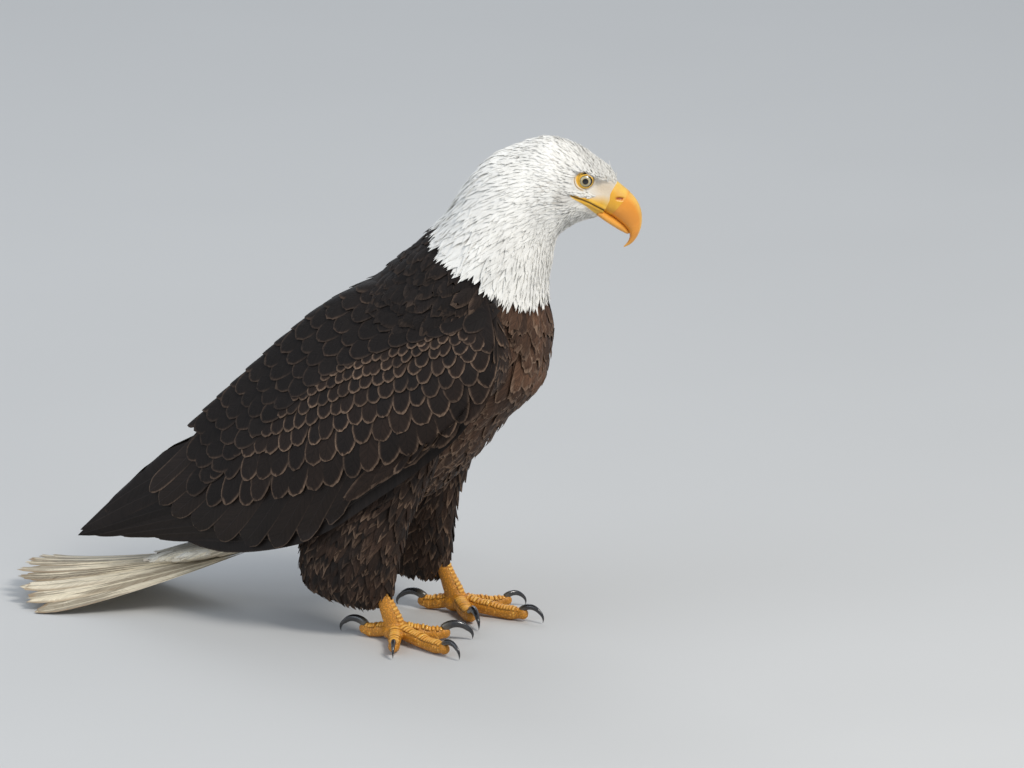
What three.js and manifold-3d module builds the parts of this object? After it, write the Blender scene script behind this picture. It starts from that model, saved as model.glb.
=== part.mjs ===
// Bald eagle, adult, life size: a still museum model standing on level ground.
// Millimetres. While it is built the bird faces +X, its left is +Y and up is +Z, with the point
// between its feet at the origin; the finished group is moved so that the origin is at the
// bottom centre of its bounding box. The head is turned to the bird's left.
import * as THREE from "three";
import { mergeVertices } from "three/addons/utils/BufferGeometryUtils.js";
import Module from "manifold-3d";

const wasm = await Module();
wasm.setup();

// ---------------------------------------------------------------- driving dimensions
const GAP = 0.3; // clearance between neighbouring pieces
const TIDY = 0.12; // edges that a cut leaves are tidied by up to this much
const HEAD_TURN = THREE.MathUtils.degToRad(20); // yaw of the head to the bird's left
const NECK_X = 98; // the neck turns about a vertical line this far ahead of the feet
const STANCE = 61; // each foot's distance from the middle
const STEP = 10; // the left foot is this far ahead of the origin and the right one as far behind
const EYE = { s: 61.5, z: 475, out: 21.4, radius: 9.2 };
const TAIL_LENGTH = 245;
const TAIL_FEATHERS = 12;
const TAIL_FAN = 19; // degrees that the outermost feathers point away from the middle
const TAIL_ARCH = 26; // height of the tail's middle above the ground at its tip; its outer tips lie down
const TAIL_ROOT = { x: -186, z: 66, half: 20 };

// Ribs of the head, neck and trunk, from the base of the bill to the root of the tail. Each is the
// plane through a point on the bird's back and one on its front, s ahead of the neck's line and z
// above the ground; turn is the share of HEAD_TURN, half is the half width and low moves the
// widest place towards the front.
const RIBS = [
  { turn: 1, back: [93.5, 468], front: [77, 433.5], half: 15.5, low: 0.1 },
  { turn: 1, back: [87, 481.5], front: [70, 431.5], half: 21.5, low: 0.06 },
  { turn: 1, back: [72, 493.5], front: [58, 428.5], half: 29.5, low: 0.03 },
  { turn: 1, back: [54, 505.5], front: [46, 422.5], half: 36, low: 0.05 },
  { turn: 1, back: [25, 513.5], front: [37, 416], half: 40, low: 0.1 },
  { turn: 1, back: [-8, 504.5], front: [32, 408], half: 42, low: 0.1 },
  { turn: 0.96, back: [-34.9, 490.5], front: [30.4, 400], half: 44.5, low: 0.06 },
  { turn: 0.86, back: [-57.6, 464.7], front: [28.8, 388.9], half: 49, low: 0.02 },
  { turn: 0.6, back: [-77.6, 433.9], front: [25.5, 370.7], half: 60, low: 0 },
  { turn: 0.28, back: [-101, 407], front: [24.2, 346.5], half: 69, low: 0 },
  { turn: 0, back: [-135, 376], front: [25.8, 304.2], half: 79, low: 0.08 },
  { turn: 0, back: [-182, 334], front: [16.3, 258.5], half: 82, low: 0.12 },
  { turn: 0, back: [-225, 291], front: [-18.2, 221.6], half: 82, low: 0.12 },
  { turn: 0, back: [-254.5, 237.9], front: [-47.8, 184.5], half: 78, low: 0.1 },
  { turn: 0, back: [-277.4, 190.6], front: [-89.9, 142.8], half: 66, low: 0 },
  { turn: 0, back: [-290.8, 152], front: [-153.1, 113.8], half: 54, low: 0 },
  { turn: 0, back: [-299.4, 121.3], front: [-215.3, 89.7], half: 43, low: 0 },
  { turn: 0, back: [-306.1, 96.5], front: [-271.7, 67.4], half: 31, low: 0 },
];
const HEAD_END = 6; // the rib where the head gives way to the neck
const WHITE_END = 9; // the rib where the white neck gives way to the brown trunk

// The folded right wing's outer face, from the wrist to the wing tip: a point on its upper edge, one
// on its lower edge, and how far it bulges outwards between them.
const WING = [
  { top: [92, -58, 388], low: [106, -88, 318], bulge: 7 },
  { top: [76, -44, 392], low: [97, -97, 280], bulge: 16 },
  { top: [42, -35, 387], low: [63, -102, 231], bulge: 25 },
  { top: [-6, -29, 372], low: [18, -105, 193], bulge: 30 },
  { top: [-60, -27, 353], low: [-26, -105, 161], bulge: 30 },
  { top: [-107, -25, 326], low: [-68, -103, 131], bulge: 28 },
  { top: [-149, -24, 291], low: [-108, -97, 110], bulge: 24 },
  { top: [-187, -23, 254], low: [-150, -86, 97], bulge: 19 },
  { top: [-222, -22, 219], low: [-192, -70, 88], bulge: 13 },
  { top: [-254, -20, 186], low: [-232, -53, 81], bulge: 9 },
  { top: [-285, -18, 154], low: [-272, -39, 74], bulge: 6 },
  { top: [-316, -16, 124], low: [-308, -29, 67], bulge: 4 },
  { top: [-346, -14, 95], low: [-342, -22, 61], bulge: 2.5 },
  { top: [-374, -13, 70], low: [-374, -17, 56], bulge: 1.5 },
];
const LEFT_WRIST_BACK = 9; // the left wing's wrist is held this much further back than the right
const SHIELD = { end: 8.5, depth: 24, steps: 15, across: 7 }; // the coverts, from the wrist to a place in WING
const SHIELD_EDGE = [{ f: 1 }, { f: 1 }, { f: 0.98 }, { f: 0.93 }, { f: 0.87 }, { f: 0.83 }, { f: 0.8 }, { f: 0.76 }, { f: 0.72 }, { f: 0.68 }];

// Long feathers of the wing, from the lowest to the uppermost: where each starts and ends, as a
// place along WING and a share of the way from its upper to its lower edge.
const SECONDARIES = [
  { root: [3.2, 0.7], tip: [5.1, 1.02] },
  { root: [3.9, 0.66], tip: [5.9, 1.04] },
  { root: [4.6, 0.62], tip: [6.7, 1.04] },
  { root: [5.3, 0.58], tip: [7.5, 1.02] },
  { root: [6, 0.54], tip: [8.3, 0.98] },
  { root: [6.6, 0.46], tip: [9, 0.87] },
  { root: [7.1, 0.36], tip: [9.6, 0.73] },
  { root: [7.4, 0.26], tip: [10, 0.55] },
  { root: [7.5, 0.15], tip: [10.3, 0.36] },
];
const PRIMARIES = [
  { root: [1.6, 0.97], tip: [9.4, 1.02] },
  { root: [2.6, 0.9], tip: [10.5, 0.96] },
  { root: [3.6, 0.84], tip: [11.5, 0.9] },
  { root: [4.6, 0.77], tip: [12.3, 0.8] },
  { root: [5.6, 0.68], tip: [13, 0.62] },
  { root: [6.6, 0.54], tip: [12.9, 0.3] },
  { root: [7.2, 0.38], tip: [12, 0.12] },
];
const SECONDARY_DEPTH = 3; // how far the secondaries lie in from the wing's outer face
const PRIMARY_DEPTH = 8;
const NOTCH = 0.07; // depth of the notch between two feather tips, as a share of their length
const VANE_THICK = 2.4;

// The feathered thigh, as level sections: height, rear and front, middle, half width.
const THIGH = [
  { z: 205, rear: -88, front: 40, y: 49, half: 32 },
  { z: 165, rear: -97, front: 22, y: 54, half: 35 },
  { z: 130, rear: -104, front: 7, y: 57, half: 34 },
  { z: 95, rear: -109, front: -2, y: 60, half: 29 },
  { z: 68, rear: -109, front: -6, y: 61, half: 23 },
  { z: 50, rear: -103, front: -9, y: 61, half: 18 },
  { z: 41, rear: -90, front: -13, y: 61, half: 13 },
  { z: 35, rear: -72, front: -20, y: 61, half: 8 },
];
const HUB = 14; // height of the middle of the hub where the toes meet
const ANKLE = { back: 32, z: 86 }; // top of the bare shank, behind and above the hub

// Toes: heading from the bird's own, positive to its left, length, radius at the root, claw length
// and claw radius. The two feet are turned differently.
const TOES = {
  right: {
    1: { heading: 170, length: 34, radius: 8.6, claw: 37, clawRadius: 4.6 },
    2: { heading: 21, length: 47, radius: 8.8, claw: 37, clawRadius: 4.7 },
    3: { heading: -30, length: 74, radius: 8.6, claw: 31, clawRadius: 3.6 },
    4: { heading: -72, length: 50, radius: 8, claw: 27, clawRadius: 3.4 },
  },
  left: {
    1: { heading: 180, length: 34, radius: 8.6, claw: 37, clawRadius: 4.6 },
    2: { heading: -53, length: 47, radius: 8.8, claw: 37, clawRadius: 4.7 },
    3: { heading: -9, length: 74, radius: 8.6, claw: 31, clawRadius: 3.6 },
    4: { heading: 36, length: 50, radius: 8, claw: 27, clawRadius: 3.4 },
  },
};

// Bill, in the head's middle plane: upper edge, lower edge, half width.
const UPPER_BILL = [
  { top: [93.5, 467.5], low: [78, 439.4], half: 14.5 },
  { top: [106, 456.8], low: [86, 434.3], half: 13 },
  { top: [113, 448.4], low: [93.5, 428.8], half: 11.4 },
  { top: [117.2, 438], low: [99.5, 423.6], half: 9.4 },
  { top: [118, 427.5], low: [103.8, 418.6], half: 7.4 },
  { top: [116.2, 417.8], low: [105.8, 413], half: 5.4 },
  { top: [112.2, 409.6], low: [104.8, 407.8], half: 3.6 },
  { top: [107, 403.8], low: [102.4, 404], half: 2.1 },
  { top: [100.4, 400.4], low: [99.8, 401.2], half: 0.6 },
];
const CERE_END = 0.95; // sections of UPPER_BILL that the soft cere covers
const LOWER_BILL = [
  { top: [79.2, 438.4], low: [75.6, 432.2], half: 12.6 },
  { top: [86, 433.4], low: [82, 427.2], half: 10.8 },
  { top: [93.3, 427.9], low: [89.6, 422], half: 8.8 },
  { top: [99.2, 422.6], low: [97, 417.4], half: 6.6 },
  { top: [103.2, 417.6], low: [103, 414.2], half: 3.6 },
];

// ---------------------------------------------------------------- finishes
const finish = (color, roughness) => new THREE.MeshStandardMaterial({ color, roughness, metalness: 0 });
const white = finish(0xe9e7e0, 0.8);
const brown = finish(0x2b211c, 0.8);
const darkBrown = finish(0x1d1715, 0.75);
const horn = finish(0xe39a2c, 0.35);
const softYellow = finish(0xd8a82a, 0.5);
const footYellow = finish(0xd98a1f, 0.55);
const black = finish(0x17171a, 0.25);
const iris = finish(0xd9d2a8, 0.1);

// ---------------------------------------------------------------- solids from sections
const vec = (x, y, z) => new THREE.Vector3(x, y, z);

// A closed body through rings of points, facing out. Each end is closed to its middle, or straight
// across when the rings are thin: outer edge first, then the inner one back again.
function skin(rings, thin = false) {
  const sides = rings[0].length;
  const points = rings.flat();
  const faces = [];
  for (let i = 0; i + 1 < rings.length; i++) {
    const a = i * sides;
    const b = a + sides;
    for (let j = 0; j < sides; j++) {
      const k = (j + 1) % sides;
      faces.push(a + j, a + k, b + j, a + k, b + k, b + j);
    }
  }
  const last = (rings.length - 1) * sides;
  if (thin) {
    for (let j = 0; j < sides / 2 - 1; j++) {
      const [p, q, r, t] = [j, j + 1, sides - 2 - j, sides - 1 - j];
      faces.push(p, r, q, p, t, r, last + p, last + q, last + r, last + p, last + r, last + t);
    }
  } else {
    const middle = (ring) => ring.reduce((sum, p) => sum.add(p), vec(0, 0, 0)).divideScalar(sides);
    const first = points.length;
    points.push(middle(rings[0]), middle(rings.at(-1)));
    for (let j = 0; j < sides; j++) {
      const k = (j + 1) % sides;
      faces.push(first, k, j, first + 1, last + j, last + k);
    }
  }
  const solid = (order) =>
    new wasm.Manifold(
      new wasm.Mesh({
        numProp: 3,
        vertProperties: new Float32Array(points.flatMap((p) => p.toArray())),
        triVerts: new Uint32Array(order),
      }),
    );
  const made = solid(faces);
  return made.volume() > 0 ? made : solid(faces.reverse());
}

// A number, or an array of them, along a table by Catmull-Rom, at place t counted in rows.
function along(rows, key, t) {
  const i = Math.min(Math.max(Math.floor(t), 0), rows.length - 2);
  const f = t - i;
  const row = (k) => rows[Math.min(Math.max(k, 0), rows.length - 1)][key];
  const curve = (a, b, c, d) =>
    b + 0.5 * f * (c - a + f * (2 * a - 5 * b + 4 * c - d + f * (3 * (b - c) + d - a)));
  const [a, b, c, d] = [row(i - 1), row(i), row(i + 1), row(i + 2)];
  return Array.isArray(b) ? b.map((_, k) => curve(a[k], b[k], c[k], d[k])) : curve(a, b, c, d);
}

// A point s ahead of the neck's line, out to the bird's left, z up, in a plane turned with the head.
function inHead(s, out, z, turn = 1) {
  const yaw = turn * HEAD_TURN;
  return vec(NECK_X + s * Math.cos(yaw) - out * Math.sin(yaw), s * Math.sin(yaw) + out * Math.cos(yaw), z);
}

// An ellipse-like ring in the plane of an upper and a lower point.
function ribRing(top, low, half, { sides = 24, turn = 1, lean = 0, square = 1, relief = null, grow = 0 } = {}) {
  const ring = [];
  const length = Math.hypot(top[0] - low[0], top[1] - low[1]);
  const reach = (length / 2 + grow) / (length / 2);
  for (let j = 0; j < sides; j++) {
    const angle = (2 * Math.PI * j) / sides;
    const c = Math.sign(Math.cos(angle)) * Math.abs(Math.cos(angle)) ** square;
    const o = Math.sign(Math.sin(angle)) * Math.abs(Math.sin(angle)) ** square;
    const s = (top[0] + low[0]) / 2 + ((top[0] - low[0]) / 2) * c * reach;
    const z = (top[1] + low[1]) / 2 + ((top[1] - low[1]) / 2) * c * reach;
    let out = (half + grow) * o * (1 - lean * c);
    if (relief) out += Math.sign(o) * Math.abs(o) * relief(s, z);
    ring.push(inHead(s, out, z, turn));
  }
  return ring;
}

// Brow ridge, eye hollow and cheek of the head, as a change of half width at a point of its side.
function faceRelief(s, z) {
  const bump = (cs, cz, ws, wz, tilt = 0) => {
    const a = (s - cs) * Math.cos(tilt) + (z - cz) * Math.sin(tilt);
    const b = (z - cz) * Math.cos(tilt) - (s - cs) * Math.sin(tilt);
    return Math.exp(-((a / ws) ** 2) - (b / wz) ** 2);
  };
  const brow = 3.6 * bump(70, 483, 21, 5, -0.5);
  const hollow = -4.4 * bump(69, 468, 17, 8, -0.45);
  const cheek = 1.5 * bump(45, 448, 14, 12);
  return brow + hollow + cheek;
}

// The body between two places in RIBS, grown by a clearance where it cuts a neighbour. Its sections
// lie at whole multiples of pitch, so that a piece and the room cut for it have the same facets.
function body(from, to, pitch, sides, grow = 0) {
  const stations = [from];
  for (let k = Math.floor(from / pitch) + 1; k * pitch < to - 0.2 * pitch; k++) {
    if (k * pitch > from + 0.2 * pitch) stations.push(k * pitch);
  }
  stations.push(to);
  return skin(
    stations.map((t) =>
      ribRing(along(RIBS, "back", t), along(RIBS, "front", t), along(RIBS, "half", t), {
        sides,
        turn: along(RIBS, "turn", t),
        lean: along(RIBS, "low", t),
        relief: t < 4 ? faceRelief : null,
        grow,
      }),
    ),
  );
}

// A tube with oval sections: each station has a middle, a direction across, one up and two radii.
function tube(stations, sides, grow = 0) {
  return skin(
    stations.map(({ p, across, up, a, b }) =>
      Array.from({ length: sides }, (_, j) => {
        const angle = (2 * Math.PI * (j + 0.5)) / sides;
        return p
          .clone()
          .addScaledVector(across, (a + grow) * Math.cos(angle))
          .addScaledVector(up, (b + grow) * Math.sin(angle));
      }),
    ),
  );
}

// A sheet of long feathers lying side by side, as one thin body with a notched end. place gives a
// point of the sheet and the way it faces, for a feather's number and a share of its length.
function sheet(count, place, thick, grow = 0) {
  const rows = [0, 0.3, 0.6, 0.85, 1];
  const rings = [];
  for (let c = 0; c <= 2 * count; c++) {
    const reach = c % 2 ? 1 : 1 - NOTCH;
    const places = rows.map((t) => place(c / 2 - 0.5, t * reach + (t ? grow / 200 : -grow / 200)));
    const half = (t) => (t > 0.9 ? 0.3 : 0.5) * thick + grow;
    const outer = places.map(({ p, face }, i) => p.clone().addScaledVector(face, half(rows[i])));
    const inner = places.map(({ p, face }, i) => p.clone().addScaledVector(face, -half(rows[i])));
    rings.push([...outer, ...inner.reverse()]);
  }
  return skin(rings, true);
}

const cut = (solid, ...cutters) => largest(cutters.reduce((left, c) => left.subtract(c), solid));

// A cut can leave slivers behind, so only the largest body is kept.
function largest(solid) {
  return solid.decompose().reduce((best, s) => (s.volume() > best.volume() ? s : best));
}

// ---------------------------------------------------------------- wings, for side -1 (right) or 1
// A point of the wing's outer face at a place along WING and a share f from its upper to its lower
// edge, moved in by depth.
function wingFace(side, t, f, depth = 0) {
  const p = vec(...along(WING, "top", t)).lerp(vec(...along(WING, "low", t)), f);
  const swell = along(WING, "bulge", t) * Math.sin(Math.PI * Math.min(Math.max(f, 0), 1)) ** 0.8;
  const back = side > 0 ? LEFT_WRIST_BACK * Math.max(0, 1 - t / 4) : 0;
  return vec(p.x - back, side * (-p.y + swell - depth), p.z);
}

function shield(side, grow = 0) {
  const rings = [];
  for (let i = 0; i <= SHIELD.steps; i++) {
    const share = i / SHIELD.steps;
    const t = share * SHIELD.end;
    const edge = along(SHIELD_EDGE, "f", t) + grow / 150;
    const depth = SHIELD.depth * Math.min(1, 0.3 + 2.4 * Math.min(share, 1.12 - share));
    const ring = [];
    for (let j = 0; j <= SHIELD.across; j++) {
      ring.push(wingFace(side, t, (edge * j) / SHIELD.across, -grow));
    }
    for (let j = SHIELD.across; j >= 0; j--) {
      const f = j / SHIELD.across;
      ring.push(wingFace(side, t, edge * f, depth * (0.2 + 0.8 * Math.min(1, 4 * f)) + grow));
    }
    rings.push(ring);
  }
  return skin(rings);
}

function flight(side, feathers, depth, grow = 0) {
  const rows = feathers.map(({ root, tip }) => ({ root, tip }));
  const at = (k, t, df = 0) => {
    const root = along(rows, "root", k);
    const tip = along(rows, "tip", k);
    return wingFace(side, root[0] + (tip[0] - root[0]) * t, root[1] + (tip[1] - root[1]) * t + df, depth);
  };
  const place = (k, t) => {
    const p = at(k, t);
    const run = at(k, t + 0.02).sub(at(k, t - 0.02));
    const face = run.cross(at(k, t, 0.03).sub(p)).multiplyScalar(side).normalize();
    return { p, face };
  };
  return sheet(feathers.length, place, VANE_THICK, grow);
}

// ---------------------------------------------------------------- tail
function tail(grow = 0) {
  const middle = (TAIL_FEATHERS - 1) / 2;
  const place = (k, t) => {
    const f = (k - middle) / middle; // -1 on the right to 1 on the left
    const fan = THREE.MathUtils.degToRad(TAIL_FAN * f);
    const length = TAIL_LENGTH * (1 - 0.13 * f * f) * t;
    const height =
      Math.max(0, 1 - t) ** 1.25 * TAIL_ROOT.z + t * TAIL_ARCH * (1 - Math.abs(f) ** 2.2) + VANE_THICK / 2 - 0.7;
    return {
      p: vec(TAIL_ROOT.x - Math.cos(fan) * length, TAIL_ROOT.half * f + Math.sin(fan) * length, height),
      face: vec(0.22 * (1 - t), 0.35 * f * t, 1).normalize(),
    };
  };
  const feathers = sheet(TAIL_FEATHERS, place, VANE_THICK, grow);
  const coverts = tube(
    [0, 0.3, 0.62, 0.85, 1].map((f, i) => ({
      p: vec(-178 - 120 * f, 0, [78, 66, 54.5, 47.5, 43][i]),
      across: vec(0, 1, 0),
      up: vec(0.2, 0, 1).normalize(),
      a: [30, 34, 36, 28, 12][i],
      b: [16, 13, 8, 4.5, 2.5][i],
    })),
    12,
    grow,
  );
  return feathers.add(coverts);
}

// ---------------------------------------------------------------- legs
const footAt = (side, z) => vec(side * STEP - 5, side * STANCE, z);

function thigh(side, grow = 0) {
  return tube(
    THIGH.map(({ z, rear, front, y, half }) => ({
      p: vec((rear + front) / 2 + side * STEP * (1 - z / 260), side * y, z),
      across: vec(1, 0, 0),
      up: vec(0, 1, 0),
      a: (front - rear) / 2,
      b: half,
    })),
    14,
    grow,
  );
}

// The bare shank, and the hub where the toes meet.
function tarsus(side, grow = 0) {
  const top = footAt(side, ANKLE.z).add(vec(-ANKLE.back, 0, 0));
  const rows = [[-0.04, 10.5, 9.5], [0.12, 10.6, 9.6], [0.3, 8.8, 8.4], [0.6, 8.4, 8], [1, 9.2, 8.8]];
  const shank = tube(
    rows.map(([t, a, b]) => ({
      p: footAt(side, HUB).lerp(top, t),
      across: vec(1, 0, 0.35).normalize(),
      up: vec(0, 1, 0),
      a,
      b,
    })),
    8,
    grow,
  );
  const hub = tube(
    [-1, -0.75, 0, 0.75, 1].map((f) => ({
      p: footAt(side, 8.4 + 8.8 * f),
      across: vec(1, 0, 0),
      up: vec(0, 1, 0),
      a: 14 * Math.sqrt(1.08 - f * f),
      b: 14 * Math.sqrt(1.08 - f * f),
    })),
    8,
    grow,
  );
  return shank.add(hub);
}

const towards = (heading) => {
  const a = THREE.MathUtils.degToRad(heading);
  return vec(Math.cos(a), Math.sin(a), 0);
};

// A toe from the hub outwards, swollen at its joint pads, with its sole just below the ground
// plane so that the level cut leaves small flats.
function toe(side, { heading, length, radius }, grow = 0) {
  const run = towards(heading);
  const across = vec(-run.y, run.x, 0);
  const rows = [[0.1, 1, 1], [0.3, 0.88, 0.92], [0.46, 1, 1], [0.62, 0.84, 0.88], [0.8, 0.94, 0.97], [1, 0.56, 0.6]];
  return tube(
    rows.map(([t, a, b]) => ({
      p: footAt(side, radius * b * (1 - 0.1 * t) - 1.3 + 5 * (1 - t) ** 2 + (t === 1 ? 4 : 0)).addScaledVector(
        run,
        4 + length * t,
      ),
      across,
      up: vec(0, 0, 1),
      a: radius * a * (1 - 0.12 * t),
      b: radius * b * (1 - 0.1 * t),
    })),
    8,
    grow,
  );
}

// A claw: a tapering horn that rises from the toe and hooks down, its point just clear of the ground.
function claw(side, { heading, length, radius, claw: reach, clawRadius }) {
  const run = towards(heading);
  const across = vec(-run.y, run.x, 0);
  const height = radius * 1.15 + 1.5;
  const start = footAt(side, height).addScaledVector(run, 1 + length);
  const rise = THREE.MathUtils.degToRad(44); // it leaves the toe rising
  const sweep = THREE.MathUtils.degToRad(150);
  const bend = reach / 2.18;
  const steps = 7;
  const stations = [];
  const climb = (a) => bend * (Math.cos(a) - Math.cos(rise));
  const settle = (height - 0.9) / -climb(rise - sweep); // brings the point to just above the ground
  for (let i = 0; i <= steps; i++) {
    const f = i / steps;
    const a = rise - sweep * f;
    const taper = Math.max(0.1, (1 - f ** 1.5) ** 0.85);
    const up = climb(a);
    stations.push({
      p: start.clone().addScaledVector(run, bend * (Math.sin(rise) - Math.sin(a))).add(vec(0, 0, up < 0 ? up * settle : up)),
      across,
      up: run.clone().multiplyScalar(-Math.sin(a)).add(vec(0, 0, Math.cos(a))).normalize(),
      a: clawRadius * 0.82 * taper,
      b: clawRadius * 1.05 * taper,
    });
  }
  return tube(stations, 6);
}

// ---------------------------------------------------------------- bill and eyes
function billPart(rows, from, to, steps, grow = 0) {
  const rings = [];
  for (let i = 0; i <= steps; i++) {
    const t = from + ((to - from) * i) / steps;
    rings.push(
      ribRing(along(rows, "top", t), along(rows, "low", t), along(rows, "half", t), { sides: 12, lean: 0.12, grow }),
    );
  }
  return skin(rings);
}

function ball(centre, radius) {
  const shape = new THREE.SphereGeometry(radius, 14, 8).translate(centre.x, centre.y, centre.z);
  shape.deleteAttribute("normal");
  shape.deleteAttribute("uv");
  const merged = mergeVertices(shape, 1e-3);
  return new wasm.Manifold(
    new wasm.Mesh({
      numProp: 3,
      vertProperties: merged.attributes.position.array,
      triVerts: new Uint32Array(merged.index.array),
    }),
  );
}

// ---------------------------------------------------------------- assembly
const bird = new THREE.Group();

function place(name, solid, material) {
  const mesh = largest(solid.asOriginal().simplify(TIDY)).getMesh();
  const geometry = new THREE.BufferGeometry();
  geometry.setAttribute("position", new THREE.BufferAttribute(new Float32Array(mesh.vertProperties), 3));
  geometry.setIndex(new THREE.BufferAttribute(new Uint32Array(mesh.triVerts), 1));
  const piece = new THREE.Mesh(geometry, material);
  piece.name = name;
  bird.add(piece);
}

// Ground: everything that stands on it is cut level.
const below = (() => {
  const ground = new THREE.BoxGeometry(1400, 800, 60).translate(0, 0, -30);
  ground.deleteAttribute("normal");
  ground.deleteAttribute("uv");
  const merged = mergeVertices(ground, 1e-3);
  return new wasm.Manifold(
    new wasm.Mesh({
      numProp: 3,
      vertProperties: merged.attributes.position.array,
      triVerts: new Uint32Array(merged.index.array),
    }),
  );
})();

const gapInRibs = 0.012; // GAP as a share of a rib's spacing
const last = RIBS.length - 1;
const eyes = [-1, 1].map((side) => inHead(EYE.s, side * EYE.out, EYE.z));
const sockets = eyes.map((centre) => ball(centre, EYE.radius + GAP));
place("head", cut(body(0, HEAD_END, 0.5, 24), ...sockets), white);
place("neck", body(HEAD_END + gapInRibs, WHITE_END, 0.7, 24), white);
const trunk = body(WHITE_END + gapInRibs, last, 0.7, 24);
place("trunk", trunk, brown);
place("eye_right", ball(eyes[0], EYE.radius), iris);
place("eye_left", ball(eyes[1], EYE.radius), iris);

const headCap = body(0, 1, 0.5, 24, GAP);
const cere = cut(billPart(UPPER_BILL, 0, CERE_END, 5), headCap);
const upperBill = billPart(UPPER_BILL, CERE_END + 0.03, UPPER_BILL.length - 1, 10);
place("cere", cere, softYellow);
place("bill_upper", upperBill, horn);
place(
  "bill_lower",
  cut(billPart(LOWER_BILL, 0, LOWER_BILL.length - 1, 8), headCap, billPart(UPPER_BILL, 0, UPPER_BILL.length - 1, 20, GAP)),
  horn,
);

const trunkRoom = body(WHITE_END, last, 0.7, 24, GAP).add(body(HEAD_END, WHITE_END, 0.7, 24, GAP));
const tailRoom = tail(GAP);
const thighs = { right: cut(thigh(-1), trunkRoom), left: cut(thigh(1), trunkRoom) };
place("tail", cut(tail(), trunkRoom, below), white);

for (const [name, side] of [["right", -1], ["left", 1]]) {
  const thighRoom = thigh(side, GAP);
  place("thigh_" + name, cut(thighs[name], tailRoom), brown);
  place("wing_" + name + "_coverts", cut(shield(side), trunkRoom, thighRoom, tailRoom), brown);
  const shieldRoom = shield(side, GAP);
  const secondaries = cut(flight(side, SECONDARIES, SECONDARY_DEPTH), trunkRoom, thighRoom, tailRoom, shieldRoom);
  place("wing_" + name + "_secondaries", secondaries, darkBrown);
  place(
    "wing_" + name + "_primaries",
    cut(flight(side, PRIMARIES, PRIMARY_DEPTH), trunkRoom, thighRoom, tailRoom, shieldRoom, flight(side, SECONDARIES, SECONDARY_DEPTH, GAP)),
    darkBrown,
  );
  const shank = cut(tarsus(side), thighRoom, below);
  place("tarsus_" + name, shank, footYellow);
  const shankRoom = tarsus(side, GAP);
  for (const [digit, sizes] of Object.entries(TOES[name])) {
    const others = Object.entries(TOES[name]).filter(([d]) => d < digit).map(([, o]) => toe(side, o, GAP));
    place("toe_" + name + "_" + digit, cut(toe(side, sizes), shankRoom, below, ...others), footYellow);
    place("claw_" + name + "_" + digit, cut(claw(side, sizes), toe(side, sizes, GAP), below), black);
  }
}

const extent = new THREE.Box3().setFromObject(bird);
bird.position.set(-(extent.min.x + extent.max.x) / 2, -(extent.min.y + extent.max.y) / 2, -extent.min.z);

export default bird;
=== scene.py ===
"""Adult bald eagle, life size, standing: skin, plumage, horn, eyes, feet and stage built round
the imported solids. Shapes are worked out in millimetres in the bird's own frame (it faces +X, its
left is +Y) and placed in the row frame in metres."""

import math
from functools import cache, partial

import bpy
import numpy as np
from bpy.props import FloatProperty, FloatVectorProperty, IntProperty, PointerProperty
from bpy.types import NodeSocket, Operator, Panel, PropertyGroup
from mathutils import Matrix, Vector
from mathutils.kdtree import KDTree


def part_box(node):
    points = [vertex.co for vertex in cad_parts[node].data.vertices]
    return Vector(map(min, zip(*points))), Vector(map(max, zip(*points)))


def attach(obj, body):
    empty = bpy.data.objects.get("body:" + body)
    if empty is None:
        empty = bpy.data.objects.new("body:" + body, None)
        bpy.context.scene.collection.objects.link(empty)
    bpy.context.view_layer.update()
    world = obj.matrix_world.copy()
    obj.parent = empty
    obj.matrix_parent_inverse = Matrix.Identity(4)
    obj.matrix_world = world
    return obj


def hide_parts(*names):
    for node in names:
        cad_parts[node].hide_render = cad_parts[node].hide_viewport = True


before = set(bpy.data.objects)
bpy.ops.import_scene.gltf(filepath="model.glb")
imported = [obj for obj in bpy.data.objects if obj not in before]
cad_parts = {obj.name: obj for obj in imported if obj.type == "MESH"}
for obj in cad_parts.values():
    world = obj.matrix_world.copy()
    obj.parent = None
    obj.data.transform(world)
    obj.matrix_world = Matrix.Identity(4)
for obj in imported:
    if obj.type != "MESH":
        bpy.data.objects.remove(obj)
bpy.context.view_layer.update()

bl_info = {
    "name": "Bald Eagle Looks",
    "version": (1, 0, 0),
    "blender": (4, 5, 0),
    "location": "View3D > Sidebar > Eagle",
    "description": "Skin, plumage, bill, eyes, feet and stage of a life-size bald eagle",
    "category": "Add Mesh",
}

# ---------------- sizes of the bird, in millimetres
MM = 0.001
HEAD_TURN = math.radians(20)  # the head is turned to the bird's left
NECK_X = 98
STANCE, STEP = 61, 10
EYE = dict(s=61.5, z=475.0, out=21.4, radius=9.2)
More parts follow.
